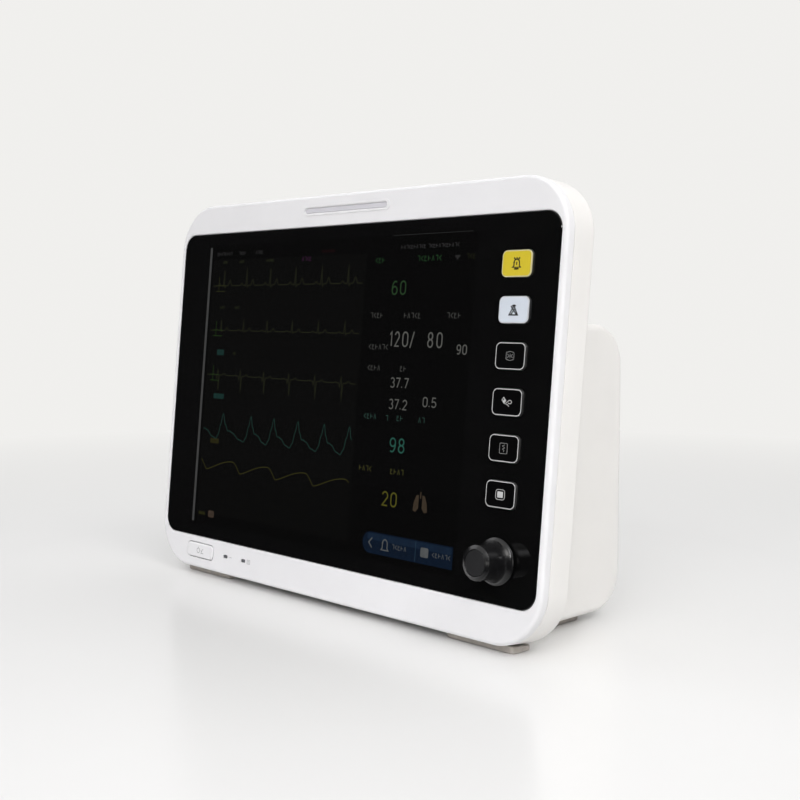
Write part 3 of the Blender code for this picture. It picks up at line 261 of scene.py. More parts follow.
def turned(profile, steps=96):
    """A solid of revolution about local Y through (radius, depth) points; radius 0 is a pole."""
    rings = []
    for radius, depth in profile:
        if radius == 0:
            rings.append([(0, depth, 0)])
            continue
        ring = []
        for step in range(steps):
            angle = 2 * math.pi * step / steps
            ring.append((radius * math.cos(angle), depth, radius * math.sin(angle)))
        rings.append(ring)
    return loft(rings)


def rod(radius, front, back, steps=32):
    """A plain round bar about local Y."""
    return turned([(0, front), (radius, front), (radius, back), (0, back)], steps)


def hoop(profile, steps=64):
    """A ring about local Y whose section is a closed loop of (radius, depth) points."""
    work = bmesh.new()
    rings = []
    for step in range(steps):
        angle = 2 * math.pi * step / steps
        across, rise = math.cos(angle), math.sin(angle)
        rings.append([work.verts.new((radius * across, depth, radius * rise)) for radius, depth in profile])
    for low, high in zip(rings, rings[1:] + rings[:1]):
        for index in range(len(profile)):
            after = (index + 1) % len(profile)
            work.faces.new((low[index], high[index], high[after], low[after]))
    return meshed(work)


def arc(center_x, center_z, radius_x, radius_z, start, end, steps=12):
    """Points along part of an ellipse, between two angles in degrees."""
    points = []
    for step in range(steps + 1):
        angle = math.radians(start + (end - start) * step / steps)
        points.append((center_x + radius_x * math.cos(angle), center_z + radius_z * math.sin(angle)))
    return points


def closed(points):
    return points + points[:1]


def ellipse(center_x, center_z, radius_x, radius_z, steps=20):
    return closed(arc(center_x, center_z, radius_x, radius_z, 0, 360, steps)[:-1])


def moved(mesh, offset):
    mesh.transform(Matrix.Translation(offset))
    return mesh


FACING = {  # turns a shape that faces -Y so that it faces another way
    "back": Matrix.Rotation(math.pi, 4, "Z"),
    "left": Matrix.Rotation(-math.pi / 2, 4, "Z"),
    "up": Matrix.Rotation(-math.pi / 2, 4, "X"),
}


def sideways(mesh, turn, offset=(0, 0, 0)):
    """The shape with its depth turned to run along X, forwards or backwards."""
    mesh.transform(Matrix.Translation(offset) @ Matrix.Rotation(-turn * math.pi / 2, 4, "Z"))
    return mesh


def faced(mesh, way, location):
    """The shape turned to face a way, with its origin at a world location."""
    mesh.transform(Matrix.Translation(location) @ FACING[way])
    return mesh


def joined(meshes):
    """One mesh that holds several closed bodies."""
    work = bmesh.new()
    for mesh in meshes:
        work.from_mesh(mesh)
        bpy.data.meshes.remove(mesh)
    mesh = bpy.data.meshes.new("shape")
    work.to_mesh(mesh)
    work.free()
    return mesh


def side_step(before, point, after, half):
    """How far a strip's edge lies to the side of one of its points."""
    steps = []
    if before is not None:
        steps.append((point - before).normalized())
    if after is not None:
        steps.append((after - point).normalized())
    along = sum(steps, Vector((0, 0)))
    if along.length < 0.05:
        along = steps[0]
    along.normalize()
    side = Vector((-along.y, along.x))
    lean = max(0.5, abs(along.dot(steps[0])))
    return side * (half / lean)


def ribbon(paths, width, front, back):
    """Flat strips of one width along paths of (across, up) points, each a thin closed body."""
    work = bmesh.new()
    for path in paths:
        closed = path[0] == path[-1]
        points = [Vector(point) for point in (path[:-1] if closed else path)]
        count = len(points)
        rows = []
        for index, point in enumerate(points):
            before = points[index - 1] if closed or index > 0 else None
            after = points[(index + 1) % count] if closed or index < count - 1 else None
            side = side_step(before, point, after, width / 2)
            left, right = point + side, point - side
            corners = ((left, front), (right, front), (right, back), (left, back))
            rows.append([work.verts.new((spot.x, depth, spot.y)) for spot, depth in corners])
        pairs = list(zip(rows, rows[1:] + rows[:1])) if closed else list(zip(rows, rows[1:]))
        for low, high in pairs:
            for edge in range(4):
                after_edge = (edge + 1) % 4
                work.faces.new((low[edge], low[after_edge], high[after_edge], high[edge]))
        if not closed:
            work.faces.new(rows[0])
            work.faces.new(rows[-1])
    return meshed(work)


def filled(points, front, back):
    """A thin plate with the outline of (across, up) points."""
    return loft([[(x, depth, z) for x, z in points] for depth in (front, back)])


def tile(x, z, width, height, radius, front, back, steps=6):
    """A thin rounded plate around a point."""
    points = [(x + across, z + rise) for across, rise in outline(width, height, radius, steps)]
    return filled(points, front, back)


CUT, ADD = "DIFFERENCE", "UNION"


def carved(mesh, *steps):
    """The mesh after a chain of exact booleans, each an operation and another mesh."""
    base = linked("base", mesh)
    tools = []
    for operation, other in steps:
        helper = linked("helper", other)
        modifier = base.modifiers.new(operation, "BOOLEAN")
        modifier.operation = operation
        modifier.solver = "EXACT"
        modifier.object = helper
        tools.append(helper)
    graph = bpy.context.evaluated_depsgraph_get()
    result = bpy.data.meshes.new_from_object(base.evaluated_get(graph))
    for item in tools + [base]:
        bpy.data.objects.remove(item, do_unlink=True)
    return result


def linked(name, data):
    item = bpy.data.objects.new(name, data)
    bpy.context.scene.collection.objects.link(item)
    return item


def piece(name, mesh, look, place=None, stands_for=None, body="housing", weighted=True):
    """A finished piece: shaded, painted, riding on a body."""
    mesh.name = name
    mesh.materials.clear()
    mesh.materials.append(LOOKS[look] if isinstance(look, str) else look)
    mesh.shade_smooth()
    mesh.set_sharp_from_angle(angle=SHARP)
    item = linked(name, mesh)
    if place is not None:
        item.matrix_world = place
    if weighted:
        item.modifiers.new("even_shading", "WEIGHTED_NORMAL").keep_sharp = True
    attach(item, body)
    if stands_for:
        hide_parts(stands_for)


# ---------------------------------------------------------------- materials
class Nodes:
    """Short calls for the nodes of one tree."""

    def __init__(self, tree):
        self.tree = tree

    def node(self, kind, **values):
        made = self.tree.nodes.new(kind)
        for label, value in values.items():
            self.give(made.inputs[label.replace("_", " ")], value)
        return made

    def give(self, socket, value):
        if isinstance(value, bpy.types.NodeSocket):
            self.tree.links.new(value, socket)
        else:
            socket.default_value = value

    def between(self, value, low, high, from_low=0.3, from_high=0.7, kind="LINEAR"):
        """The value's place in one range, as a place in another."""
        made = self.node("ShaderNodeMapRange", Value=value, From_Min=from_low, From_Max=from_high,
            To_Min=low, To_Max=high)
        made.interpolation_type = kind
        return made.outputs["Result"]

    def combined(self, operation, *values):
        made = self.node("ShaderNodeMath")
        made.operation = operation
        for socket, value in zip(made.inputs, values):
            self.give(socket, value)
        return made.outputs["Value"]

    def mixed(self, share, first, second):
        made = self.node("ShaderNodeMixShader", Fac=share)
        self.give(made.inputs[1], first)
        self.give(made.inputs[2], second)
        return made.outputs["Shader"]


class Look(Nodes):
    """One material and short calls for its nodes."""

    def __init__(self, name):
        self.material = bpy.data.materials.new(name)
        self.material.use_nodes = True
        super().__init__(self.material.node_tree)
        self.shader = self.tree.nodes["Principled BSDF"]

    def place(self):
        return self.node("ShaderNodeTexCoord").outputs["Object"]

    def noise(self, size, detail=3.0, stretch=(1, 1, 1)):
        """Noise whose blobs are about this size, in metres."""
        spot = self.node("ShaderNodeMapping", Vector=self.place(), Scale=stretch).outputs["Vector"]
        return self.node("ShaderNodeTexNoise", Vector=spot, Scale=1 / size, Detail=detail).outputs["Fac"]

    def ramp(self, value, *stops):
        made = self.node("ShaderNodeValToRGB", Fac=value)
        for element, (position, color) in zip(made.color_ramp.elements, stops):
            element.position = position
            element.color = (*color, 1)
        return made.outputs["Color"]

    def tinted(self, value, color, low, high):
        """The colour, darker or lighter with the value."""
        return self.ramp(value, (0.3, shade(color, low)), (0.7, shade(color, high)))

    def bump(self, height, strength, distance):
        made = self.node("ShaderNodeBump", Height=height, Strength=strength, Distance=distance)
        self.give(self.shader.inputs["Normal"], made.outputs["Normal"])

    def set(self, **values):
        for label, value in values.items():
            self.give(self.shader.inputs[label.replace("_", " ")], value)
        return self.material


def shade(color, factor):
    return tuple(min(1.0, channel * factor) for channel in color)


def plastic(name, color, roughness, grain=0.0004, relief=0.00001, mottle=0.02, spread=0.06, index=1.5):
    """Moulded plastic: a fine spark-eroded grain, faint clouding and an uneven sheen."""
    look = Look(name)
    cloud = look.noise(0.05)
    tint = look.tinted(cloud, color, 1 - mottle, 1 + mottle)
    sheen = look.between(look.noise(0.02), roughness - spread / 2, roughness + spread / 2)
    look.bump(look.noise(grain, 2.0), 0.35, relief)
    return look.set(Base_Color=tint, Roughness=sheen, IOR=index)


def metal(name, color, roughness, brushed=(1, 1, 30)):
    """Turned or rolled metal with fine drawing lines."""
    look = Look(name)
    lines = look.noise(0.002, 4.0, brushed)
    tint = look.tinted(lines, color, 0.85, 1.1)
    sheen = look.between(lines, roughness - 0.07, roughness + 0.09)
    look.bump(lines, 0.25, 0.00002)
    return look.set(Base_Color=tint, Roughness=sheen, Metallic=1.0)


def glass_look():
    """Black back-printed glass: mirror gloss with the faintest smears."""
    look = Look("black_glass")
    smear = look.noise(0.03, 4.0, (1, 1, 2.5))
    tint = look.ramp(smear, (0.3, (0.0026, 0.0026, 0.0027)), (0.7, (0.0032, 0.0032, 0.0033)))
    sheen = look.between(smear, 0.035, 0.06)
    return look.set(Base_Color=tint, Roughness=sheen, IOR=1.5)


def lit(name, color, strength, base=0.002):
    """A lit shape under the glass: it glows a little and keeps the glass's gloss."""
    look = Look(name)
    flicker = look.between(look.noise(0.004, 2.0), strength * 0.85, strength * 1.1)
    return look.set(
        Base_Color=(base, base, base, 1),
        Roughness=0.05,
        Emission_Color=(*color, 1),
        Emission_Strength=flicker,
    )


def rubber_look(name, color):
    look = Look(name)
    cloud = look.noise(0.006)
    tint = look.tinted(cloud, color, 0.9, 1.1)
    look.bump(look.noise(0.0006, 3.0), 0.5, 0.00005)
    return look.set(Base_Color=tint, Roughness=0.75)


def board_look():
    """Green solder mask with rows of copper tracks under it."""
    look = Look("solder_mask")
    mapping = look.node("ShaderNodeMapping", Vector=look.place(), Scale=(1, 1, 1))
    tracks = look.node("ShaderNodeTexBrick", Vector=mapping.outputs["Vector"], Scale=90.0)
    colors = {"Color1": (0.012, 0.12, 0.045), "Color2": (0.016, 0.15, 0.055), "Mortar": (0.03, 0.24, 0.09)}
    for label, color in colors.items():
        tracks.inputs[label].default_value = (*color, 1)
    return look.set(Base_Color=tracks.outputs["Color"], Roughness=0.4)


LOOKS = {
    "shell": plastic("shell_white", (0.85, 0.835, 0.815), 0.42, relief=0.00002),
    "bezel": plastic("bezel_white", (0.82, 0.815, 0.83), 0.44),
    "glass": glass_look(),
    "display": plastic("display_black", (0.012, 0.012, 0.013), 0.4),
    "yellow": plastic("key_yellow", (0.62, 0.49, 0.022), 0.38),
    "yellow_edge": plastic("key_yellow_edge", (0.6, 0.55, 0.3), 0.34),
    "white_key": plastic("key_white", (0.62, 0.67, 0.74), 0.36),
    "white_edge": plastic("key_white_edge", (0.56, 0.58, 0.61), 0.34),
    "black_key": plastic("key_black", (0.0016, 0.0016, 0.0018), 0.36, mottle=0.1, index=1.18),
    # the keys' dark cap: the black keys' own colour, and painted shade along the sides of the yellow and white
    # keys
    "dark_side_and_shade": plastic("key_dark_side_and_shade", (0.03, 0.03, 0.03), 0.3),
    "key_ring": plastic("key_ring_pale", (0.55, 0.55, 0.55), 0.36),
    "dark_print": plastic("icon_print_dark", (0.005, 0.005, 0.005), 0.5),
    "light_print": plastic("icon_print_light", (0.52, 0.52, 0.52), 0.5),
    "dim_print": plastic("icon_print_dim", (0.24, 0.24, 0.24), 0.5),
    "grey_print": plastic("icon_print_grey", (0.36, 0.36, 0.37), 0.5),
    "knob": plastic("knob_black", (0.006, 0.006, 0.0065), 0.2, relief=0.00002, mottle=0.15),
    "knob_face": plastic("knob_face", (0.016, 0.016, 0.017), 0.34, relief=0.00003, mottle=0.1),
    "lens": plastic("alarm_lens", (0.66, 0.65, 0.69), 0.3),
    "light_pipe": plastic("smoked_lens", (0.13, 0.13, 0.14), 0.22),
    "board": board_look(),
    "steel": metal("plated_steel", (0.52, 0.53, 0.55), 0.34),
    "dark": plastic("black_plastic", (0.022, 0.022, 0.023), 0.5, relief=0.00003),
    "rubber": rubber_look("foot_rubber", (0.5, 0.46, 0.42)),
    "socket_green": plastic("socket_green", (0.06, 0.3, 0.13), 0.38),
    "socket_blue": plastic("socket_blue", (0.04, 0.13, 0.42), 0.38),
    "socket_grey": plastic("socket_grey", (0.28, 0.29, 0.31), 0.38),
    "hose": plastic("hose_silicone", (0.68, 0.68, 0.64), 0.4),
    "battery": plastic("battery_wrap", (0.03, 0.045, 0.08), 0.35),
    "brass": metal("stud_brass", (0.66, 0.48, 0.2), 0.28),
}


# ---------------------------------------------------------------- carried-over CAD nodes
def dress():
    """Gives every CAD node that stays its finish, smooth round walls and even shading."""
    slots = {row["node"]: row["material_slot"] for row in frame["record"]["subparts"]}
    for name, item in nodes.items():
        item.data.materials.clear()
        item.data.materials.append(LOOKS[slots[name]])
        item.data.shade_smooth()
        weld = item.modifiers.new("weld", "WELD")
        weld.merge_threshold = 0.00001
        split = item.modifiers.new("sharp_edges", "EDGE_SPLIT")
        split.split_angle = SHARP
        even = item.modifiers.new("even_shading", "WEIGHTED_NORMAL")
        even.keep_sharp = True


# ---------------------------------------------------------------- front bezel
def panel_size():
    low, high = panel_box("front_bezel")
    return high.x - low.x, high.z - low.z


def make_bezel():
    """The white frame around the glass, with its ledge, its soft lip and its openings."""
    width, height = panel_size()
    middle = Vector((0, 0, height / 2))
    glass_width, glass_height = GLASS_HIGH.x - GLASS_LOW.x, GLASS_HIGH.z - GLASS_LOW.z
    glass_middle = panel_middle("glass_panel")
    body = slab(rounded(width, height, PANEL_CORNER, 0, BEZEL_DEPTH, FRONT_ROUND, SEAM_ROUND), FINE)
    hollow = slab(rounded(width - 2 * WALL, height - 2 * WALL, PANEL_CORNER - WALL, 0.0055, 0.012), FINE)
    gap, rest = 0.0006, 0.009
    pocket = mouth(glass_width + gap, glass_height + gap, GLASS_CORNER, LIP_ROUND, LEDGE_DEPTH)
    ledge = rounded(glass_width - rest, glass_height - rest, GLASS_CORNER - rest / 2, 0.002, 0.009)
    gap = 2 * BUTTON_GAP
    button = mouth(BUTTON_WIDTH + gap, BUTTON_HEIGHT + gap, BUTTON_CORNER + BUTTON_GAP, 0.0004, 0.009)
    lamp = mouth(0.0928, 0.0066, 0.0032, 0.0004, 0.009)
    holes = [moved(slab(button), panel_middle("power_button"))]
    holes.append(moved(slab(lamp, 16), panel_middle("alarm_lens")))
    for node in ("led_pipe_mains", "led_pipe_battery"):
        holes.append(moved(slab(mouth(0.0054, 0.0028, 0.001, 0.0002, 0.009)), panel_middle(node)))
    mesh = carved(
        moved(body, middle),
        (CUT, moved(hollow, middle)),
        (CUT, moved(slab(pocket, 24), glass_middle)),
        (CUT, moved(slab(ledge, 12), glass_middle)),
        (CUT, joined(holes)),
    )
    piece("bezel_shell", mesh, "bezel", PANEL, stands_for="front_bezel")


# ---------------------------------------------------------------- keys
def key_icons():
    """Each key's icon: strips of (across, up) points in millimetres, and plates."""
    bell = [(-2.7, -2.2), (-1.8, -1.4), (-1.8, 0.5)]
    bell += arc(0, 0.5, 1.8, 1.9, 180, 0)
    bell += [(1.8, -1.4), (2.7, -2.2), (-2.7, -2.2)]
    clapper = arc(0, -2.4, 0.8, 0.8, 200, 340, 6)
    rays = [[(-2.0, 3.4), (-0.9, 2.1)], [(2.0, 3.4), (0.9, 2.1)], [(0, 3.5), (0, 2.6)]]
    marks = [[(0, 0.9), (0, -0.9)], [(-1.6, -3.1), (1.6, -3.1)]]
    triangle = [(-2.9, -3.2), (0.2, 2.3), (3.1, -3.2), (-2.9, -3.2)]
    crossed = [[(-1.9, 2.2), (2.3, -3.0)], [(1.1, 0.9), (-1.6, -3.0)], arc(0.2, 1.7, 1.4, 1.0, 20, 160, 6)]
    barrel = arc(-2.3, 1.6, 1.2, 1.0, 180, 100, 5) + arc(0, 0, 2.6, 3.2, 115, 65, 6)
    barrel += arc(2.3, 1.6, 1.2, 1.0, 80, 0, 5)
    barrel = closed(barrel + [(x, -z) for x, z in reversed(barrel)])
    left_arrow = [(-2.5, 1.4), (-0.7, 0), (-2.5, -1.4)]
    right_arrow = [(2.5, 1.4), (0.7, 0), (2.5, -1.4)]
    cuff = [(-4.1, 1.3), (-2.7, 3.0), (-0.8, 1.0), (-2.2, -0.8), (-4.1, 1.3)]
    tube = arc(2.5, 0.2, 1.5, 1.1, -150, 165) + [(0.7, 0.2), (-0.6, -0.3)]
    hand = [(-1.6, -0.8), (0.6, -1.5), (2.1, -2.7)]
    paper = closed(outline(6.3, 6.6, 0.8, 4))
    trace = [(0.9, 2.3), (-1.0, 1.5), (1.1, 0.4), (-0.8, -0.5), (0.6, -1.2), (0.1, -2.3)]
    screen = closed(outline(7.4, 6.4, 1.8, 6))
    return {
        "alarm_pause": (stretched([bell, clapper] + rays + marks, 1.22, 1.12), [], 0.92),
        "alarm_silence": (stretched([triangle] + crossed, 1.18, 1.05), [], 0.88),
        "freeze": (stretched([barrel, left_arrow, right_arrow, [(0, 1.7), (0, -1.7)]], 0.92, 0.92), [], 0.3),
        "pressure_start": ([cuff, tube, hand], [[(-3.2, 0.7), (-2.0, 1.9), (-1.0, 0.9), (-2.2, -0.5)]], 0.42),
        "record": ([paper, trace], [], 0.31),
        "menu": ([screen], [outline(4.7, 3.9, 0.5, 3)], 0.34),
    }


def stretched(paths, across, rise):
    return [[(x * across, z * rise) for x, z in path] for path in paths]


def scaled(path):
    return [(x * MM, z * MM) for x, z in path]


def make_key(name, looks, icon):
    """A dark keycap with a narrower crown, its pale rim, its printed face and its icon. Under a light key's pale
    crown the dark cap is painted shade along the key's sides.
    """
    node = f"key_{name}"
    low, high = panel_box(node)
    face_look, edge_look, icon_look = looks
    black = face_look == "black_key"
    place = panel_place(node)

    def part(suffix, mesh, look):
        piece(f"{node}_{suffix}", mesh, look, place, node if suffix == "cap" else None, node)

    def print_tile(inset, layer):
        width, height = KEY_WIDTH - 2 * inset, KEY_HEIGHT - 2 * inset
        return tile(0, 0, width, height, KEY_CORNER - inset, layer - INK, layer, 10)

    front = low.y + KEY_SINK
    step = front + 0.0008
    # painted shade: on the yellow and white keys this dark cap, wider than the pale crown, darkens the key's
    # sides; on the black keys it is their own black
    cap = rounded(KEY_WIDTH, KEY_HEIGHT, KEY_CORNER, step, high.y, KEY_EDGE, 0, 6)
    part("cap", slab(cap, 16), "dark_side_and_shade")
    crown = grown(KEY_WIDTH, KEY_HEIGHT, KEY_CORNER, (0, -RING_OUT))[0][1:]
    crown = slab(rounded(*crown, front, step + 0.0006, 0.00025, 0, 5), 16)
    part("crown", crown, "dark_side_and_shade" if black else edge_look)
    layer = front
    if black:
        part("ring", print_tile(RING_OUT + 0.00008, layer), edge_look)
        layer -= INK
    part("face", print_tile(RING_IN if black else KEY_RIM, layer), face_look)
    strips, plates, stroke = icon
    layer -= INK
    shapes = [ribbon([scaled(path) for path in strips], stroke * MM, layer - INK, layer)]
    shapes += [filled(scaled(plate), layer - INK, layer) for plate in plates]
    part("icon", joined(shapes), icon_look)


# ---------------------------------------------------------------- knob
def make_knob():
    """The push-and-turn knob: flat face, chamfer, barrel, and a skirt that flares out to a fine edge."""
    low, high = panel_box("control_knob")
    skirt = (high.x - low.x) / 2
    front = low.y
    barrel, disc, chamfer, soft = 0.0113, 0.009, 0.0012, 0.0003
    flare_start, flare_length, flare_turn = -0.012, 0.0104, math.radians(86)
    profile = [(0, front + 0.0006), (disc - 0.0007, front + 0.0006), (disc - 0.0005, front + 0.0004)]
    profile += [(disc - 0.0004, front + 0.0001), (disc - 0.0002, front),
        (disc + soft / 2, front + soft / 3)]
    profile.append((barrel - soft, front + chamfer - soft / 2))
    profile += arc(barrel - soft, front + chamfer + soft, soft, soft * 1.4, -80, 0, 5)
    for step in range(23):
        angle = flare_turn * step / 22
        spread = (skirt - barrel - 0.0002) * (1 - math.cos(angle)) / (1 - math.cos(flare_turn))
        profile.append((barrel + spread, flare_start + flare_length * math.sin(angle)))
    profile += [(skirt - 0.00005, -0.0015), (skirt - 0.00005, -0.00135), (skirt - 0.0002, -0.00115)]
    profile += [(skirt - 0.0022, -0.0011), (skirt - 0.004, -0.005), (0.0052, -0.005), (0.0052, -0.01)]
    profile += [(0.0033, -0.01), (0.0033, front + 0.0036), (0, front + 0.0036)]
    place = panel_place("control_knob")
    piece("knob_grip", turned(profile, 128), "knob", place, stands_for="control_knob", body="knob")
    flat = disc - 0.0008
    plate = [(0, front + 0.0003), (flat - 0.0001, front + 0.0003), (flat, front + 0.0004)]
    plate += [(flat, front + 0.00055), (0, front + 0.00055)]
    piece("knob_disc", turned(plate, 96), "knob_face", place, body="knob")


# ---------------------------------------------------------------- low row and lamp
def make_low_row():
    """The power button with its faint icon, the two smoked windows and their marks."""
    low, high = panel_box("power_button")
    place = panel_place("power_button")
    front = low.y
    cap = rounded(BUTTON_WIDTH, BUTTON_HEIGHT, BUTTON_CORNER, front, 0.0058, 0.0009)
    flange = rounded(0.0378, 0.0143, 0.0046, 0.0058, 0.0068)
    stem = rounded(0.005, 0.005, 0.0024, 0.0068, high.y)
    mesh = slab(cap + flange + stem, 12)
    piece("power_cap", mesh, "bezel", place, stands_for="power_button", body="power_button")
    icon = [
        arc(-1.8, 0.0, 1.9, 2.1, 125, 415, 14),
        [(-1.8, 2.9), (-1.8, 0.9)],
        [(1.4, -2.0), (5.4, -2.0)],
        [(1.8, 0.4), (2.8, -1.1), (3.5, 0.9), (5.0, 1.5)],
    ]
    strips = ribbon([scaled(path) for path in icon], 0.0005, front - INK, front)
    piece("power_icon", strips, "grey_print", place, body="power_button")

    marks = {
        "led_pipe_mains": [[(5.4, 0.1), (7.4, 0.1)], [(7.9, 0.5), (7.9, -0.3)]],
        "led_pipe_battery": [
            [(5.4, 1.5), (8.8, 1.5), (8.8, -1.5), (5.4, -1.5), (5.4, 1.5)],
            [(6.1, 0.5), (8.1, 0.5)],
            [(6.1, -0.5), (8.1, -0.5)],
        ],
    }
    for node, paths in marks.items():
        low, high = panel_box(node)
        spot = panel_place(node)
        lens = slab(rounded(0.0048, 0.0024, 0.0008, low.y, high.y - 0.004, 0.0003, 0, 5), 8)
        piece(f"{node}_lens", lens, "light_pipe", spot, stands_for=node)
        strips = ribbon([scaled(path) for path in paths], 0.0004, -INK / 2, INK / 2)
        piece(f"{node}_mark", strips, "grey_print", spot)


def make_lamp():
    """The alarm light bar: a frosted lens behind a soft white surround that stands a hair proud."""
    back = panel_box("alarm_lens")[1].y
    place = panel_place("alarm_lens")
    shift = Vector((-0.00125, 0, 0))
    lens = rounded(0.0893, 0.0036, 0.0017, 0.0003, 0.004, 0.0006)
    flange = rounded(0.0908, 0.005, 0.0024, 0.0042, back)
    mesh = moved(slab(lens + flange, 16), shift)
    piece("alarm_light_bar", mesh, "lens", place, stands_for="alarm_lens")
    lip = rounded(0.094, 0.0078, 0.0038, -0.0005, -0.00004, 0.0003)
    body = slab(lip + rounded(0.0924, 0.0062, 0.003, -0.00004, 0.004), 16)
    flare = ((-0.002, 0.0008), (-0.0005, 0.0008), (-0.0001, 0.0003), (0.0004, 0.0), (0.006, 0.0))
    window = grown(0.0897, 0.0039, 0.0018, *flare)
    surround = carved(body, (CUT, moved(slab(window, 16), shift)))
    piece("alarm_lens_surround", surround, "bezel", place)


# ---------------------------------------------------------------- screen
def on_screen(points):
    """Places on the window, in millimetres from its upper left corner, as panel (across, up)."""
    left, top = GLASS_LOW.x + WINDOW_LEFT, GLASS_HIGH.z - WINDOW_TOP
    return [(left + x * MM, top - y * MM) for x, y in points]


def screen_tile(x, y, width, height, radius=0.0, layer=1):
    """A thin plate on the window, from its upper left corner, in millimetres."""
    middle = on_screen([(x + width / 2, y + height / 2)])[0]
    front = GLASS_FACE - (layer + 1) * INK
    return tile(*middle, width * MM, height * MM, max(radius, 0.05) * MM, front, front + INK)


def screen_strips(paths, width, layer=1):
    front = GLASS_FACE - (layer + 1) * INK
    return ribbon([on_screen(path) for path in paths], width * MM, front, front + INK)


def screen_plate(points):
    return filled(on_screen(points), GLASS_FACE - 2 * INK, GLASS_FACE - INK)


def digit_paths(character):
    """A digit's strokes in a box of width 1 and height 1, up from its foot."""
    loop = ellipse(0.5, 0.3, 0.5, 0.3)
    tail = arc(0.6, 0.42, 0.6, 0.58, 62, 180, 10) + [(0.0, 0.3)]
    ring = closed(arc(0.5, 0.72, 0.5, 0.28, 0, 180, 12) + arc(0.5, 0.28, 0.5, 0.28, 180, 360, 12))
    strokes = {
        "0": [ring],
        "1": [[(0.2, 0.8), (0.6, 1.0), (0.6, 0.0)]],
        "2": [arc(0.5, 0.71, 0.5, 0.29, 165, -20) + [(0.02, 0.0), (1.0, 0.0)]],
        "3": [arc(0.46, 0.76, 0.46, 0.24, 150, -80), arc(0.48, 0.26, 0.52, 0.26, 80, -150)],
        "5": [[(0.92, 1.0), (0.14, 1.0), (0.06, 0.53)] + arc(0.46, 0.3, 0.54, 0.3, 128, -150)],
        "6": [loop, tail],
        "7": [[(0.0, 1.0), (1.0, 1.0), (0.34, 0.0)]],
        "8": [ellipse(0.5, 0.76, 0.43, 0.24), ellipse(0.5, 0.26, 0.5, 0.26)],
        "9": [[(1 - x, 1 - y) for x, y in path] for path in (loop, tail)],
        "/": [[(0.15, -0.1), (0.85, 1.05)]],
        ".": [[(0.35, 0.0), (0.35, 0.13)]],
    }
    return strokes[character]


def number(text, x, y, height, width, gap, stroke):
    """A reading on the screen; x and y are its upper left corner, in millimetres."""
    shapes = []
    for character in text:
        advance = width * (0.28 if character == "." else 1.0)
        paths = []
        for path in digit_paths(character):
            paths.append([(x + across * advance, y + (1 - rise) * height) for across, rise in path])
        shapes.append(screen_strips(paths, stroke, 2))
        x += advance + gap
    return joined(shapes)


def caption(x, y, width, height=2.5):
    """A line of small print, as a row of abstract marks between two places."""
    glyph = height * 0.58
    pitch = glyph + height * 0.4
    half, full = (glyph / 2, height / 2), (glyph, height)
    kinds = (
        [[(0, 0), (0, full[1])], [(0, half[1]), (full[0], half[1])]],
        [[(0, 0), (full[0], 0), full]],
        [[(0, 0), (0, full[1]), full], [(half[0], 0), half]],
        [[(0, full[1]), (half[0], 0), full]],
        [[(full[0], 0), (0, half[1]), full]],
    )
    paths = []
    for index in range(max(1, round((width + pitch - glyph) / pitch))):
        for path in kinds[(index * 3 + int(x) + int(y)) % len(kinds)]:
            paths.append([(x + index * pitch + a, y - height / 2 + b) for a, b in path])
    return screen_strips(paths, 0.38, 2)


def bump_wave(x, middle, width, height):
    return height * math.exp(-(((x - middle) / width) ** 2))


def heart_trace(base, beats, rise, dip, hump, start=7.4, end=190.0, step=0.45):
    """One lead of the electrocardiogram along the screen, in millimetres."""
    points = []
    count = int((end - start) / step)
    for index in range(count + 1):
        x = start + index * step
        y = base
        for beat in beats:
            y -= bump_wave(x, beat, 0.5, rise)
            y += bump_wave(x, beat + 1.4, 0.5, dip)
            y += bump_wave(x, beat - 1.4, 0.45, dip * 0.25)
            y -= bump_wave(x, beat - 6.0, 1.4, hump * 0.4)
            y -= bump_wave(x, beat + 8.0, 1.5, hump)
        points.append((x, y))
    return points


def pulse_trace(start=7.4, end=190.0, step=0.4):
    """The oxygen sensor's wave: a steep rise, a quick fall, a shoulder and a long slope."""
    peaks = (1.5, 33.5, 70.5, 99.3, 128.4, 158.8, 186.7, 215.0)
    foot, top, rise = 158.4, 137.6, 8.3
    climb = ((0.0, foot), (0.34, 155.0), (0.68, 146.0), (0.96, 138.1), (1.0, top))
    fall = ((0.12, 146.0), (0.26, 151.2), (0.34, 151.0), (0.46, 152.2), (0.78, 157.0))
    shape = []
    for peak, after in zip(peaks, peaks[1:]):
        span = after - rise - peak
        shape += [(peak - rise + share * rise, y) for share, y in climb]
        shape += [(peak + share * span, y) for share, y in fall]
    points = []
    for index in range(int((end - start) / step) + 1):
        x = start + index * step
        for (a, low), (b, high) in zip(shape, shape[1:]):
            if a <= x <= b:
                share = (x - a) / (b - a)
                points.append((x, low + (high - low) * (0.5 - 0.5 * math.cos(math.pi * share))))
                break
    return points


def breath_trace(start=7.4, end=190.0, step=0.8):
    """The breathing wave: a slow rise and a quicker fall."""
    top, bottom, period, first = 175.6, 184.2, 45.2, 15.5
    points = []
    count = int((end - start) / step)
    for index in range(count + 1):
        x = start + index * step
        phase = ((x - first) / period) % 1.0
        rise = 0.76
        share = phase / rise if phase < rise else (1 - phase) / (1 - rise)
        lift = math.sin(math.pi / 2 * share) ** 1.3
        points.append((x, bottom - (bottom - top) * lift))
    return points


def scale_mark(base):
    """The mark at the left of a heart trace, which shows its scale."""
    return [
        [(15.2, base + 4.5), (15.2, base - 7.5)],
        [(11.5, base + 4.5), (24.0, base + 4.5)],
        [(11.0, base - 0.2), (24.0, base - 0.2)],
    ]


def menu_strips():
    """The arrow and the bell on the menu bar."""
    bell = [(228.0, 220.6), (229.2, 219.2), (229.2, 216.0)] + arc(231.6, 216.0, 2.4, -2.8, 180, 0, 8)
    bell += [(234.0, 219.2), (235.2, 220.6), (228.0, 220.6)]
    return [[(218.6, 213.4), (215.2, 216.9), (218.6, 220.4)], bell]


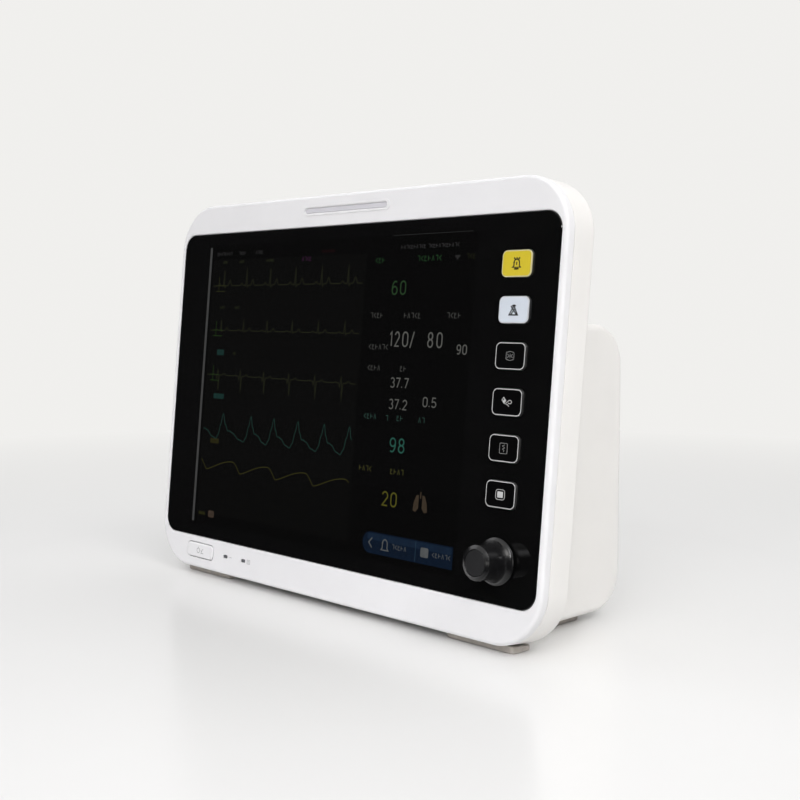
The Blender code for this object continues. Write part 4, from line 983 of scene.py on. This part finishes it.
def lobe(side):
    """One lung's outline."""
    points = ((-1.9, 178.6), (0.4, 179.0), (2.6, 184.0), (3.2, 189.6), (0.6, 190.4), (-1.9, 187.6))
    return screen_plate([(263.0 + side * (3.6 + out), y) for out, y in points])


def make_screen():
    """The display's window and all that it shows, a piece for each colour."""
    wide, tall = WINDOW_WIDTH / MM, WINDOW_HEIGHT / MM
    beats = (22.0, 52.0, 82.3, 113.3, 144.1, 173.8)
    leads = ((33.4, 15.0, 2.0, 4.6), (69.9, 9.6, 1.2, 2.4), (106.4, 5.0, 14.2, 1.6))
    hearts = [heart_trace(base, beats, *sizes) for base, *sizes in leads]
    scales = [scale_mark(lead[0]) for lead in leads]
    bar = arc(216.4, 216.9, 7.6, 7.6, 90, 270, 14) + [(296.2, 209.3), (296.2, 224.5)]
    heart = arc(280.3, 16.4, 1.2, 1.2, 200, 0, 8) + arc(282.7, 16.4, 1.2, 1.2, 180, -20, 8)
    heart.append((281.5, 19.4))
    menu = [screen_strips(menu_strips(), 0.9, 2), screen_tile(266.5, 213.4, 7.4, 6.6, 1.2, 2)]
    menu += [caption(239.0, 217.0, 13.5, 3.0), caption(277.6, 217.0, 17.0, 3.0)]
    lungs = [lobe(-1), lobe(1), screen_strips([[(263.0, 176.4), (263.0, 181.0)]], 1.1)]
    shown = (  # the piece, its look, its colour and its glow, then how it is made, from which rows
        ("window", "window_black", (0.9, 0.9, 1.0), 0.0002, screen_tile, [(0, 0, wide, tall, 0.3, 0)]),
        ("trace_field", "trace_field", (0.95, 1.0, 0.9), 0.0011, screen_tile,
            [(6.0, 12.0, TRACE_WIDTH / MM - 6.0, 208.0, 0.3, 0.5)]),
        ("left_edge", "edge_glow", (1, 1, 1), 0.048, screen_tile, [(0.1, 1.6, 2.8, tall - 2, 0.9, 0.5)]),
        ("top_edge", "top_glow", (1, 1, 1), 0.02, screen_tile, [(218, 0.2, 76, 0.35, 0.1, 0.5)]),
        ("heart_traces", "heart_trace", (0.52, 0.57, 0.26), 0.029, screen_strips, [(hearts, 0.55)]),
        ("scale_olive", "scale_olive", (0.45, 0.5, 0.15), 0.045, screen_strips, [(scales[0], 0.5)]),
        ("scale_green", "scale_green", (0.2, 0.5, 0.1), 0.07, screen_strips, [(scales[1] + scales[2], 0.5)]),
        ("pulse_trace", "pulse_trace", (0.22, 0.72, 0.58), 0.06, screen_strips, [([pulse_trace()], 0.46)]),
        ("breath_trace", "breath_trace", (0.6, 0.56, 0.12), 0.052, screen_strips, [([breath_trace()], 0.6)]),
        ("heart_rate", "green_light", (0.36, 0.9, 0.34), 0.046, number,
            [("60", 220.9, 32.7, 9.1, 4.9, 3.4, 1.0)]),
        ("pressures", "white_light", (0.92, 0.92, 0.86), 0.1, number, [
            ("12", 221.4, 68.2, 9.8, 4.0, 1.9, 1.0), ("0/", 235.0, 68.2, 9.8, 4.8, 1.9, 1.0),
            ("80", 259.4, 68.2, 9.8, 4.5, 4.1, 1.0), ("90", 286.8, 75.9, 6.0, 3.3, 2.0, 0.8),
            ("37.7", 226.0, 100.3, 6.5, 3.7, 1.7, 0.8), ("37.2", 226.0, 115.3, 6.5, 3.7, 1.7, 0.8),
            ("0.5", 259.0, 112.3, 6.2, 3.8, 1.7, 0.8)]),
        ("oxygen", "teal_light", (0.2, 0.9, 0.68), 0.085, number,
            [("98", 229.8, 142.2, 9.4, 5.2, 3.4, 1.05)]),
        ("breath_rate", "yellow_light", (0.9, 0.86, 0.12), 0.082, number,
            [("20", 225.8, 180.0, 9.4, 5.2, 3.5, 1.05)]),
        ("captions_green", "small_green", (0.25, 0.85, 0.28), 0.06, caption,
            [(202.0, 17.5, 8.6, 3.5), (244.0, 17.3, 21.0, 3.5)]),
        ("caption_olive", "small_olive", (0.45, 0.5, 0.2), 0.03, caption, [(289.8, 17.0, 6.2, 3.0)]),
        ("captions_white", "caption_white", (0.85, 0.85, 0.8), 0.07, caption, [
            (200.7, 56.6, 12.4, 3.5), (234.8, 56.6, 14.2, 3.5), (275.6, 56.3, 12.0, 3.5),
            (201.2, 78.9, 17.6, 3.5), (201.4, 93.8, 11.4, 3.5), (234.6, 93.5, 6.0, 3.5)]),
        ("captions_dim", "faint_light", (0.75, 0.75, 0.75), 0.038, caption, [
            (227.4, 8.9, 23.5), (253.7, 8.9, 28.6), (10.6, 7.3, 11.5),
            (23.6, 7.3, 6.2), (39.5, 7.3, 9.2), (61.7, 7.3, 9.6)]),
        ("captions_teal", "caption_teal", (0.35, 0.8, 0.65), 0.075, caption, [
            (201.1, 128.3, 12.0, 3.5), (223.5, 128.6, 1.4, 3.5), (234.8, 128.0, 5.8, 3.5),
            (255.8, 128.0, 5.8, 3.5)]),
        ("captions_yellow", "caption_yellow", (0.8, 0.78, 0.22), 0.075, caption,
            [(200.1, 165.5, 10.9, 3.5), (232.2, 165.2, 12.2, 3.5)]),
        ("caption_magenta", "magenta_light", (0.6, 0.15, 0.55), 0.064, caption, [(119.9, 14.1, 11.5, 3.0)]),
        ("mark_red", "dark_red", (0.5, 0.08, 0.12), 0.01, screen_tile, [(142.0, 8.0, 15.0, 2.0, 0.4)]),
        ("captions_leads", "lead_light", (0.4, 0.48, 0.2), 0.055, caption, [
            (76.4, 14.1, 9.0, 1.9), (19.4, 51.2, 4.6, 1.9), (39.2, 51.2, 5.0, 1.9),
            (41.0, 88.2, 3.8, 1.9), (19.4, 14.3, 4.4, 1.9), (41.5, 14.3, 4.4, 1.9)]),
        ("tags_teal", "tag_teal", (0.15, 0.58, 0.5), 0.04, screen_tile,
            [(18.8, 85.6, 9.4, 4.6, 0.5), (18.2, 121.6, 14.0, 4.2, 0.5)]),
        ("tag_yellow", "tag_yellow", (0.55, 0.5, 0.12), 0.03, screen_tile, [(18.0, 158.4, 11.6, 4.0, 0.5)]),
        ("menu_bar", "bar_blue", (0.1, 0.32, 0.8), 0.022, screen_plate, [(bar,)]),
        ("menu_sheen", "bar_sheen", (0.14, 0.36, 0.8), 0.036, screen_tile,
            [(213.6, 210.2, 81.6, 4.6, 1.6, 1.5)]),
        ("menu_line", "bar_line", (0.2, 0.45, 0.75), 0.07, screen_strips,
            [([[(261.6, 209.9), (261.6, 223.9)]], 0.5, 2)]),
        ("menu_marks", "menu_light", (0.8, 0.85, 0.88), 0.095, joined, [(menu,)]),
        ("heart_icon", "heart_light", (0.75, 0.75, 0.75), 0.024, screen_plate, [(heart,)]),
        ("lungs", "lung_light", (0.6, 0.43, 0.28), 0.065, joined, [(lungs,)]),
        ("corner_dash", "corner_olive", (0.4, 0.4, 0.1), 0.035, screen_tile, [(8.7, 219.6, 9.0, 2.6, 0.5)]),
        ("corner_icon", "corner_orange", (0.6, 0.42, 0.3), 0.07, screen_tile, [(22.0, 217.6, 8.0, 5.6, 1.6)]),
    )
    for name, look, color, glow, make, rows in shown:
        mesh = joined([make(*row) for row in rows])
        piece(f"screen_{name}", mesh, lit(look, color, glow), PANEL, weighted=False)


# ---------------------------------------------------------------- rear housing
def behind_panel(height, depth):
    """World Y of the point at this height on the plane this deep behind the panel's face."""
    origin, inward, up = (PANEL.col[index].xyz for index in (3, 1, 2))
    rise = (height - origin.z - inward.z * depth) / up.z
    return origin.y + inward.y * depth + up.y * rise


def hump_side(inset, start):
    """Side outline of the rear box, as world (Y, Z), pulled in from its walls."""
    low, high, back = UNDERSIDE + inset, HUMP_TOP - inset, HUMP_BACK - inset
    below, above = BOTTOM_ROUND - inset, TOP_ROUND - inset
    points = [(behind_panel(height, start), height) for height in (high, low)]
    points += arc(back - below, low + below, below, below, -90, 0, 20)
    points += arc(back - above, high - above, above, above, 0, 90, 20)
    return points


def hump_body(inset, start, side_round, steps=8):
    """The rear box, with the outlines of its two side walls rounded off."""
    half = HUMP_WIDTH / 2 - inset
    stations = []
    for step in range(steps + 1):
        angle = math.pi / 2 * step / steps
        across = half - side_round * (1 - math.sin(angle))
        stations.append((across, inset + side_round * (1 - math.cos(angle))))
    mirrored = [(-across, pull) for across, pull in reversed(stations)]
    rings = []
    for across, pull in mirrored + stations:
        rings.append([(across, y, z) for y, z in hump_side(pull, start)])
    return loft(rings)


def slot_spots():
    """Middle (across, height) and size of each ventilation and speaker slot."""
    vents = [(-0.11, 0.092 + index * 0.0088, 0.066, 0.0036) for index in range(9)]
    speaker = [(0.109, 0.118 + index * 0.0062, 0.036, 0.0024) for index in range(6)]
    return vents + speaker


def rear_openings():
    """Cutters for everything that opens in the rear box, in world places."""
    recess = slab(mouth(0.168, 0.06, 0.0035, 0.0009, 0.014), 8)
    window = slab(mouth(0.064, 0.148, 0.003, 0.0005, 0.006), 8)
    plate = slab(mouth(0.1106, 0.1106, 0.005, 0.0004, 0.0023), 8)
    cutters = [
        faced(recess, "up", (0, 0.0175, HUMP_TOP)),
        faced(plate, "back", (0, HUMP_BACK, PLATE_MIDDLE)),
        faced(window, "left", (-HUMP_WIDTH / 2, 0.02, 0.102)),
    ]
    openings = [  # across and height, then width, height, corner, edge and depth
        (0.108, 0.0605, 0.0928, 0.0468, 0.0012, 0.0004, 0.012),
        (-0.118, PORT_ROW, 0.028, 0.0215, 0.002, 0.0004, 0.008),
        (-0.03, PORT_ROW, 0.0166, 0.0142, 0.0006, 0.0004, 0.008),
        (0.0, PORT_ROW, 0.015, 0.0078, 0.0006, 0.0004, 0.008),
        (-0.084, PORT_ROW, 0.0068, 0.0068, 0.0033, 0.0004, 0.008),
    ]
    for across, height, width, tall in slot_spots():
        openings.append((across, height, width, tall, tall / 2 - 0.00005, 0.0005, 0.008))
    for across, height, *sizes in openings:
        cutters.append(faced(slab(mouth(*sizes), 6), "back", (across, HUMP_BACK, height)))
    return cutters


def screw_spot(index):
    """Where a cover screw stands on the panel, and the depth of its head."""
    low, high = panel_box(f"cover_screw_{index}")
    middle = (low + high) / 2
    return PANEL @ Matrix.Translation((middle.x, 0, middle.z)), low.y, high.y


def rear_bores():
    """Cutters for the hinge pins, the mounting threads and the four cover screws."""
    cutters = []
    for sign in (-1, 1):
        cutters.append(sideways(rod(PIN_BORE, 0, 0.014), sign, (sign * 0.079, 0.04, HUMP_TOP - 0.007)))
        for rise in (-PLATE_HOLE, PLATE_HOLE):
            thread = rod(0.0021, -0.001, 0.0045)
            cutters.append(faced(thread, "back", (sign * PLATE_HOLE, HUMP_BACK, PLATE_MIDDLE + rise)))
    steps = ((0, -0.006), (0.0018, -0.006), (0.0018, -0.0012), (0.0034, -0.0012))
    steps += ((0.0034, -0.0003), (0.0038, 0.0001), (0.0038, 0.002), (0, 0.002))
    for index in SCREWS:
        hole = turned([(radius, RIM_BACK + depth) for radius, depth in steps], 48)
        hole.transform(screw_spot(index)[0])
        cutters.append(hole)
    return cutters


def make_rear():
    """The rear cover: a leaning rim and a squared box behind it, hollow, with its openings."""
    width, height = panel_size()
    lift = PANEL @ Matrix.Translation((0, 0, height / 2))
    front = BEZEL_DEPTH + 0.0004
    rim = slab(rounded(width, height, PANEL_CORNER, front, RIM_BACK, SEAM_ROUND, 0.003), FINE)
    inside = rounded(width - 2 * WALL, height - 2 * WALL, PANEL_CORNER - WALL, 0.004, RIM_BACK - WALL)
    hollow = slab(inside, FINE)
    rim.transform(lift)
    hollow.transform(lift)
    tray = slab(rounded(0.192, 0.0158, 0.001, -0.0153, 0.0503), 2)
    pad = slab(rounded(0.12, 0.12, 0.002, -0.0058, -0.001), 2)
    blocks = [moved(tray, (0, 0, HUMP_TOP - 0.0089)), moved(pad, (0, HUMP_BACK, PLATE_MIDDLE))]
    mesh = carved(
        rim,
        (ADD, hump_body(0, 0.015, SIDE_ROUND)),
        (CUT, hollow),
        (CUT, hump_body(WALL, 0.018, SIDE_ROUND - WALL)),
        (ADD, joined(blocks)),
        (CUT, joined(rear_openings())),
        (CUT, joined(rear_bores())),
    )
    piece("rear_shell", mesh, "shell", None, stands_for="rear_cover")


def make_screws():
    """Cover screws: domed heads with a cross recess, sunk in the rim's back."""
    for index in SCREWS:
        place, front, back = screw_spot(index)
        profile = [(0, front), (0.0015, front), (0.0015, back - 0.0017), (0.0029, back - 0.0017)]
        profile += [(0.0029, back - 0.0006), (0.0026, back - 0.0002), (0.002, back), (0, back)]
        cuts = []
        for turn in (0, math.pi / 2):
            arm = slab(((0, 0.0005, 0.003, 0.0002), (0.003, 0.001, 0.0038, 0.0002)), 3)
            arm.transform(Matrix.Rotation(turn, 4, "Y") @ Matrix.Translation((0, back - 0.001, 0)))
            cuts.append((CUT, arm))
        name = f"cover_screw_{index}"
        piece(f"{name}_head", carved(turned(profile, 48), *cuts), "steel", place, stands_for=name)


def make_handle():
    """The folding carry handle: a grip and two arms with soft round edges, on two pins."""
    low, high = node_box("carry_handle")
    width, reach, thick = high.x - low.x, high.y - low.y, high.z - low.z
    half = thick / 2
    bar = 0.012
    edge = 0.003
    body = slab(rounded(width, reach, 0.009, -half, half, edge, edge, 8), 16)
    gap = slab(through(width - 2 * bar, 0.05, 0.006, edge, -half, half), 12)
    reaches = [(sign * (width / 2 - bar - 0.004), 0, reach / 2 - 0.006) for sign in (-1, 1)]
    bores = [sideways(rod(PIN_BORE, 0, 0.02), math.copysign(1, spot[0]), spot) for spot in reaches]
    mesh = carved(body, (CUT, moved(gap, (0, 0, bar + 0.025 - reach / 2))), (CUT, joined(bores)))
    place = Matrix.Translation((low + high) / 2) @ FACING["up"]
    piece("handle_grip", mesh, "shell", place, stands_for="carry_handle", body="handle")


# ---------------------------------------------------------------- sockets
def side_place(node, out=0.0):
    """A place on the left wall at a node's middle; out moves it clear of the wall."""
    low, high = node_box(node)
    middle = (low + high) / 2
    return Matrix.Translation((0.0006 - HUMP_WIDTH / 2 - out, middle.y, middle.z)) @ FACING["left"]


def make_socket_plate():
    """The dark plate in the left wall, with a ring and an icon printed beside each socket."""
    low, high = node_box("socket_panel")
    lip_width, lip_height = high.y - low.y, high.z - low.z
    width, height = lip_width - 0.0088, lip_height - 0.0088
    plate = rounded(width, height, 0.0026, 0, 0.0026, 0.0003)
    plate += rounded(lip_width, lip_height, 0.003, 0.0026, 0.0044)
    place = side_place("socket_panel")
    middle = (low + high) / 2
    holes = []
    rings = []
    for name in SOCKETS:
        box = node_box(name)
        spot = (box[0] + box[1]) / 2
        radius = (box[1].z - box[0].z) / 2
        at = (middle.y - spot.y, 0, spot.z - middle.z)
        bore = radius - 0.0016
        holes.append(moved(rod(bore, -0.002, 0.008, 64), at))
        rings.append(ellipse(at[0], at[2], radius + 0.0022, radius + 0.0022, 64))
    mesh = carved(slab(plate, 10), (CUT, joined(holes)))
    piece("socket_plate", mesh, "dark", place, stands_for="socket_panel")
    icons = {
        "ecg_socket": [
            arc(-1.3, 1.0, 1.35, 1.3, 190, 10, 8) + arc(1.3, 1.0, 1.35, 1.3, 170, -10, 8)
            + [(0, -2.9), (-2.6, 0.7)],
        ],
        "oxygen_socket": [
            [(-1.7, -1.0), (0, 2.9), (1.7, -1.0)] + arc(0, -1.0, 1.7, 1.7, 0, -180, 10),
            [(-0.8, -1.2), (0.8, -1.2)],
        ],
        "temperature_socket_1": [
            arc(0, -1.9, 1.1, 1.1, 118, 422, 12) + arc(0, 2.2, 0.52, 0.6, 0, 180, 6) + [(-0.52, -0.95)],
            [(0, -1.9), (0, 0.9)],
        ],
        "cuff_port": [
            [(-2.6, 1.6), (2.6, 1.6), (2.6, -1.6), (-2.6, -1.6), (-2.6, 1.6)],
            [(-0.9, 1.6), (-0.9, -1.6)],
            [(0.4, -1.6), (0.4, -2.8), (2.0, -2.8)],
        ],
    }
    strips = list(rings)
    for name, paths in icons.items():
        box = node_box(name)
        spot = (box[0] + box[1]) / 2
        across = middle.y - spot.y + 0.0205 if name != "temperature_socket_1" else 0.0
        for path in paths:
            strips.append([(across + x * MM, spot.z - middle.z + z * MM) for x, z in path])
    piece("socket_print", ribbon(strips, 0.0004, -INK, INK), "light_print", place)


def socket_ring(outer, cavity, floor):
    """A socket's collar and barrel, with soft edges and a cavity of this depth."""
    face = -0.0022
    barrel = outer - 0.002
    profile = [(0, 0.018), (barrel, 0.018), (barrel, -0.0003), (outer - 0.0002, -0.0003),
        (outer, -0.0005)]
    profile += arc(outer - 0.0008, face + 0.0008, 0.0008, -0.0008, 0, 90, 6)
    profile += arc(cavity + 0.0005, face + 0.0005, 0.0005, -0.0005, 90, 180, 5)
    profile += [(cavity, floor), (0, floor)]
    return turned(profile, 96)


def pin(radius, front, back):
    tip = radius * 0.5
    profile = [(0, front), (tip, front), (radius, front + tip), (radius, back), (0, back)]
    return turned(profile, 24)


def make_sockets():
    """Round sockets with their contacts."""
    places = {name: side_place(name) for name in SOCKETS}
    cavities = {}
    for name, look in SOCKETS.items():
        low, high = node_box(name)
        outer = (high.z - low.z) / 2
        cavities[name] = {"cuff_port": 0.0062}.get(name, outer * 0.74 if outer > 0.009 else outer * 0.58)
        ring = socket_ring(outer, cavities[name], 0.0125)
        piece(f"{name}_ring", ring, look, places[name], stands_for=name)

    place = places["ecg_socket"]
    core = [(0, 0.002), (0.0046, 0.002), (0.005, 0.0024), (0.005, SOCKET_FLOOR), (0, SOCKET_FLOOR)]
    key = slab(rounded(0.0016, 0.0026, 0.0004, 0.0016, SOCKET_FLOOR), 3)
    shapes = [turned(core, 64), moved(key, (0, 0, cavities["ecg_socket"] - 0.0012))]
    piece("ecg_core", joined(shapes), "dark", place)
    spots = []
    for count, radius in ((1, 0), (5, 0.0017), (9, 0.0036)):
        for index in range(count):
            angle = 2 * math.pi * index / count
            spots.append((radius * math.cos(angle), 0, radius * math.sin(angle)))
    pins = [moved(pin(0.00042, 0.0008, 0.003), spot) for spot in spots]
    piece("ecg_contacts", joined(pins), "brass", place)

    place = places["oxygen_socket"]
    tongue = slab(rounded(0.0096, 0.0042, 0.0012, 0.0016, SOCKET_FLOOR, 0.0003), 8)
    piece("oxygen_core", tongue, "dark", place)
    rows = [(index - 2, -0.001) for index in range(5)] + [(index - 1.5, 0.001) for index in range(4)]
    pins = [moved(pin(0.00036, 0.0006, 0.003), (across * 0.0019, 0, rise)) for across, rise in rows]
    piece("oxygen_contacts", joined(pins), "brass", place)

    for index in (1, 2):
        name = f"temperature_socket_{index}"
        sleeve = [(0, 0.011), (0.0018, 0.011), (0.0018, 0.0006), (0.002, 0.0004), (0.0033, 0.0004)]
        sleeve += [(0.0036, 0.0008), (0.0036, SOCKET_FLOOR), (0, SOCKET_FLOOR)]
        piece(f"{name}_sleeve", turned(sleeve, 64), "brass", places[name])

    nipple = [(0, 0.011), (0.0016, 0.011), (0.0016, -0.0008), (0.0018, -0.001), (0.0024, -0.001)]
    nipple += [(0.0028, -0.0004), (0.0028, 0.003), (0.0036, 0.004), (0.0036, SOCKET_FLOOR),
        (0, SOCKET_FLOOR)]
    piece("cuff_nipple", turned(nipple, 64), "steel", places["cuff_port"])
    seal = hoop(arc(0.0032, 0.002, 0.0007, 0.0007, 0, 360, 16)[:-1], 64)
    piece("cuff_seal", seal, "dark", places["cuff_port"])


# ---------------------------------------------------------------- back wall fittings
def back_place(across, height, out=0.0):
    return Matrix.Translation((across, HUMP_BACK + out, height)) @ FACING["back"]


def make_ports():
    """The mains inlet with its blades, the two data ports' contacts and the earth stud."""
    place = back_place(-0.118, PORT_ROW)
    shell = slab(rounded(0.0272, 0.0207, 0.0016, 0.0006, 0.0246, 0.0003), 8)
    well = grown(0.024, 0.0165, 0.004, (-0.001, 0.0004), (0.0006, 0.0003), (0.001, 0), (0.0186, 0))
    mesh = carved(shell, (CUT, slab(well, 8)))
    piece("inlet_shell", mesh, "dark", place, stands_for="mains_inlet")
    blades = []
    tip, shaft = (0.0012, 0.0032, 0.0003), (0.002, 0.004, 0.0004)
    for x, z in ((-0.007, 0.002), (0.007, 0.002), (0.0, -0.003)):
        blades.append(moved(slab([(0.0046, *tip), (0.0052, *shaft), (0.0188, *shaft)], 4), (x, 0, z)))
    piece("inlet_blades", joined(blades), "steel", place)

    place = back_place(-0.03, PORT_ROW)
    lining = carved(
        slab(rounded(0.0138, 0.0114, 0.0003, 0.0012, 0.0144), 3),
        (CUT, slab(rounded(0.0118, 0.0084, 0.0004, -0.001, 0.011), 3)),
    )
    piece("network_lining", lining, "dark", place)
    wires = [moved(slab(rounded(0.0004, 0.0004, 0.0001, 0.002, 0.0108), 2),
        ((index - 3.5) * 0.00102, 0, -0.0036)) for index in range(8)]
    piece("network_contacts", joined(wires), "brass", place)

    place = back_place(0.0, PORT_ROW)
    tongue = moved(slab(rounded(0.0106, 0.0019, 0.0004, 0.0022, 0.0124, 0.0003), 4), (0, 0, 0.001))
    piece("usb_tongue", tongue, "dark", place)
    strips = [moved(slab(rounded(0.001, 0.0002, 0.00005, 0.003, 0.011), 2),
        ((index - 1.5) * 0.0023, 0, -0.00005)) for index in range(4)]
    piece("usb_contacts", joined(strips), "brass", place)

    stud = [(0, 0.0002), (0.0026, 0.0002), (0.003, 0.0006)]
    for turn in range(5):
        depth = 0.0008 + turn * 0.0006
        stud += [(0.003, depth), (0.0026, depth + 0.0003)]
    stud += [(0.003, 0.004), (0.005, 0.004), (0.005, 0.016), (0, 0.016)]
    piece("earth_stud_turned", turned(stud, 48), "brass", back_place(-0.084, PORT_ROW),
        stands_for="earth_stud")


def make_plate():
    """The steel mounting plate with its four tapped holes."""
    low, high = node_box("mount_plate")
    plate = slab(rounded(high.x - low.x, high.z - low.z, 0.005, 0, high.y - low.y, 0.0003), 12)
    profile = [(0, -0.001), (0.0031, -0.001), (0.0028, 0.0002), (0.0021, 0.0008), (0.0021, 0.004),
        (0, 0.004)]
    sides = (-PLATE_HOLE, PLATE_HOLE)
    holes = [moved(turned(profile, 48), (x, 0, z)) for x in sides for z in sides]
    mesh = carved(plate, (CUT, joined(holes)))
    piece("mount_plate_milled", mesh, "steel", back_place(0, PLATE_MIDDLE), stands_for="mount_plate")


def make_door():
    """The battery door: soft edges, a thumb scoop, grip ribs, a hinge knuckle and a latch."""
    low, high = node_box("battery_door")
    width = high.x - low.x
    back = high.y
    thick = 0.0024
    axis_height = low.z + 0.0021
    tall = high.z - axis_height - 0.0002
    leaf = slab(rounded(width, tall, 0.0009, 0, thick, 0.0004), 6)
    scoop = [(-0.001, 0.0216, 0.0116, 0.0053), (0, 0.0212, 0.0112, 0.0051),
        (0.0003, 0.0204, 0.0104, 0.0048)]
    scoop += [(0.0007, 0.0196, 0.0096, 0.0046), (0.001, 0.0184, 0.0084, 0.0041)]
    rise = high.z - 0.011 - (axis_height + 0.0002 + tall / 2)
    axis = (0, back - (HUMP_BACK - 0.0026), -0.0002 - tall / 2)
    half = width / 2
    knuckle = sideways(rod(0.0021, -half, half), 1, axis)
    tab = moved(slab(rounded(0.022, 0.004, 0.0006, thick - 0.0008, thick + 0.002), 4),
        (0, 0, tall / 2 - 0.005))
    rib = rounded(0.03, 0.0008, 0.00035, -0.001, 0.0004)
    ribs = [moved(slab(rib, 4), (0, 0, -0.012 + index * 0.0022)) for index in range(5)]
    bore = sideways(rod(0.0013, -half - 0.001, half + 0.001, 24), 1, axis)
    mesh = carved(
        leaf,
        (ADD, knuckle),
        (ADD, tab),
        (CUT, joined(ribs)),
        (CUT, moved(slab(scoop, 12), (0, 0, rise))),
        (CUT, bore),
    )
    middle = Vector(((low.x + high.x) / 2, back, axis_height + 0.0002 + tall / 2))
    place = Matrix.Translation(middle) @ FACING["back"]
    piece("battery_door_leaf", mesh, "shell", place, stands_for="battery_door", body="battery_door")


# ---------------------------------------------------------------- studio
def make_camera():
    """Looks at the monitor from its right front, a little above its middle."""
    azimuth = math.radians(45.64)
    pitch = math.radians(4.41)
    distance = 0.93
    aim = (cad_low + cad_high) / 2 + Vector((0.0057, 0.01555, -0.0029))
    level = math.cos(pitch)
    back = Vector((math.sin(azimuth) * level, -math.cos(azimuth) * level, math.sin(pitch)))
    data = bpy.data.cameras.new("camera")
    data.sensor_width = 36.0
    data.lens = 54.45
    camera = linked("camera", data)
    camera.location = aim + back * distance
    camera.rotation_euler = (-back).to_track_quat("-Z", "Y").to_euler()
    bpy.context.scene.camera = camera


def make_light(name, location, size, power, color, target=(0, 0, 0.15), spread=180):
    data = bpy.data.lights.new(name, "AREA")
    data.shape = "RECTANGLE"
    data.size, data.size_y = size
    data.spread = math.radians(spread)
    data.energy = power
    data.color = color
    light = linked(name, data)
    light.location = location
    aim = Vector(target) - Vector(location)
    light.rotation_euler = aim.to_track_quat("-Z", "Y").to_euler()


def make_sky():
    """A pale backdrop for the eye, and a dim horizon under a bright sky for everything else."""
    world = bpy.data.worlds.new("studio")
    bpy.context.scene.world = world
    world.use_nodes = True
    world.node_tree.nodes.clear()
    sky = Nodes(world.node_tree)
    split = sky.node("ShaderNodeSeparateXYZ", Vector=sky.node("ShaderNodeTexCoord").outputs["Generated"])
    height = sky.between(split.outputs["Z"], 0.018, 1.0, 0.22, 0.62, "SMOOTHSTEP")
    behind = sky.between(split.outputs["Y"], 0.0, 0.6, 0.0, 0.5, "SMOOTHSTEP")
    bright = sky.combined("MAXIMUM", height, behind)
    light = sky.node("ShaderNodeBackground", Color=bright, Strength=0.97).outputs["Background"]
    seen = sky.node("ShaderNodeBackground", Color=BACKDROP).outputs["Background"]
    direct = sky.node("ShaderNodeLightPath").outputs["Is Camera Ray"]
    sky.node("ShaderNodeOutputWorld", Surface=sky.mixed(direct, light, seen))


def make_floor():
    """A pale glossy floor that fades into the backdrop, and mirrors only what stands near it."""
    mesh = filled([(-6, -6), (6, -6), (6, 6), (-6, 6)], -0.01, 0)
    mesh.transform(Matrix.Rotation(-math.pi / 2, 4, "X"))
    floor = linked("floor", mesh)
    floor.location.z = -0.01 - 0.0002
    look = Look("floor_pale")
    distance = look.node("ShaderNodeVectorMath")
    distance.operation = "LENGTH"
    look.give(distance.inputs[0], look.place())
    reach = distance.outputs["Value"]
    fade = look.between(reach, 0.0, 1.0, 0.38, 1.3)
    mirrored = look.node("ShaderNodeLightPath").outputs["Is Glossy Ray"]
    strength = look.between(mirrored, 1.0, 0.015, 0.0, 1.0)
    hidden = look.combined("MULTIPLY", look.between(reach, 0.0, 1.0, 0.17, 0.3), mirrored)
    share = look.combined("MAXIMUM", fade, hidden)
    glow = look.node("ShaderNodeEmission", Color=BACKDROP, Strength=strength).outputs["Emission"]
    look.set(Base_Color=(0.8, 0.797, 0.792, 1), Roughness=0.22, IOR=1.4)
    surface = look.mixed(share, look.shader.outputs["BSDF"], glow)
    look.give(look.tree.nodes["Material Output"].inputs["Surface"], surface)
    mesh.materials.append(look.material)


def make_studio():
    make_sky()
    make_light("front_box", (0.9, -2.1, 1.5), (1.4, 1.0), 1.85, (0.985, 0.98, 1.0), (0, 0, -0.31), 40)
    make_light("left_box", (-1.9, -0.9, 1.4), (1.4, 1.0), 5.0, (0.985, 0.98, 1.0))
    make_light("right_box", (1.6, -0.2, 1.9), (1.2, 1.2), 2.7, (1.0, 0.98, 0.955), (0.1, 0, 0.6), 70)
    make_light("low_box", (0.4, -2.5, 0.25), (1.2, 0.4), 0.6, (1.0, 0.98, 0.95), (0, 0, 0), 90)
    make_light("knob_strip", (1.5, -1.1, 1.0), (0.16, 0.22), 0.15, (1, 1, 1), (0.17, -0.06, 0.055), 30)
    make_floor()
    bpy.context.scene.view_settings.view_transform = "Standard"


# ---------------------------------------------------------------- the whole
def main():
    make_camera()
    dress()
    make_bezel()
    icons = key_icons()
    for name, looks in KEYS.items():
        make_key(name, looks, icons[name])
    make_knob()
    make_low_row()
    make_lamp()
    make_screen()
    make_rear()
    make_screws()
    make_handle()
    make_socket_plate()
    make_sockets()
    make_ports()
    make_plate()
    make_door()
    make_studio()


main()
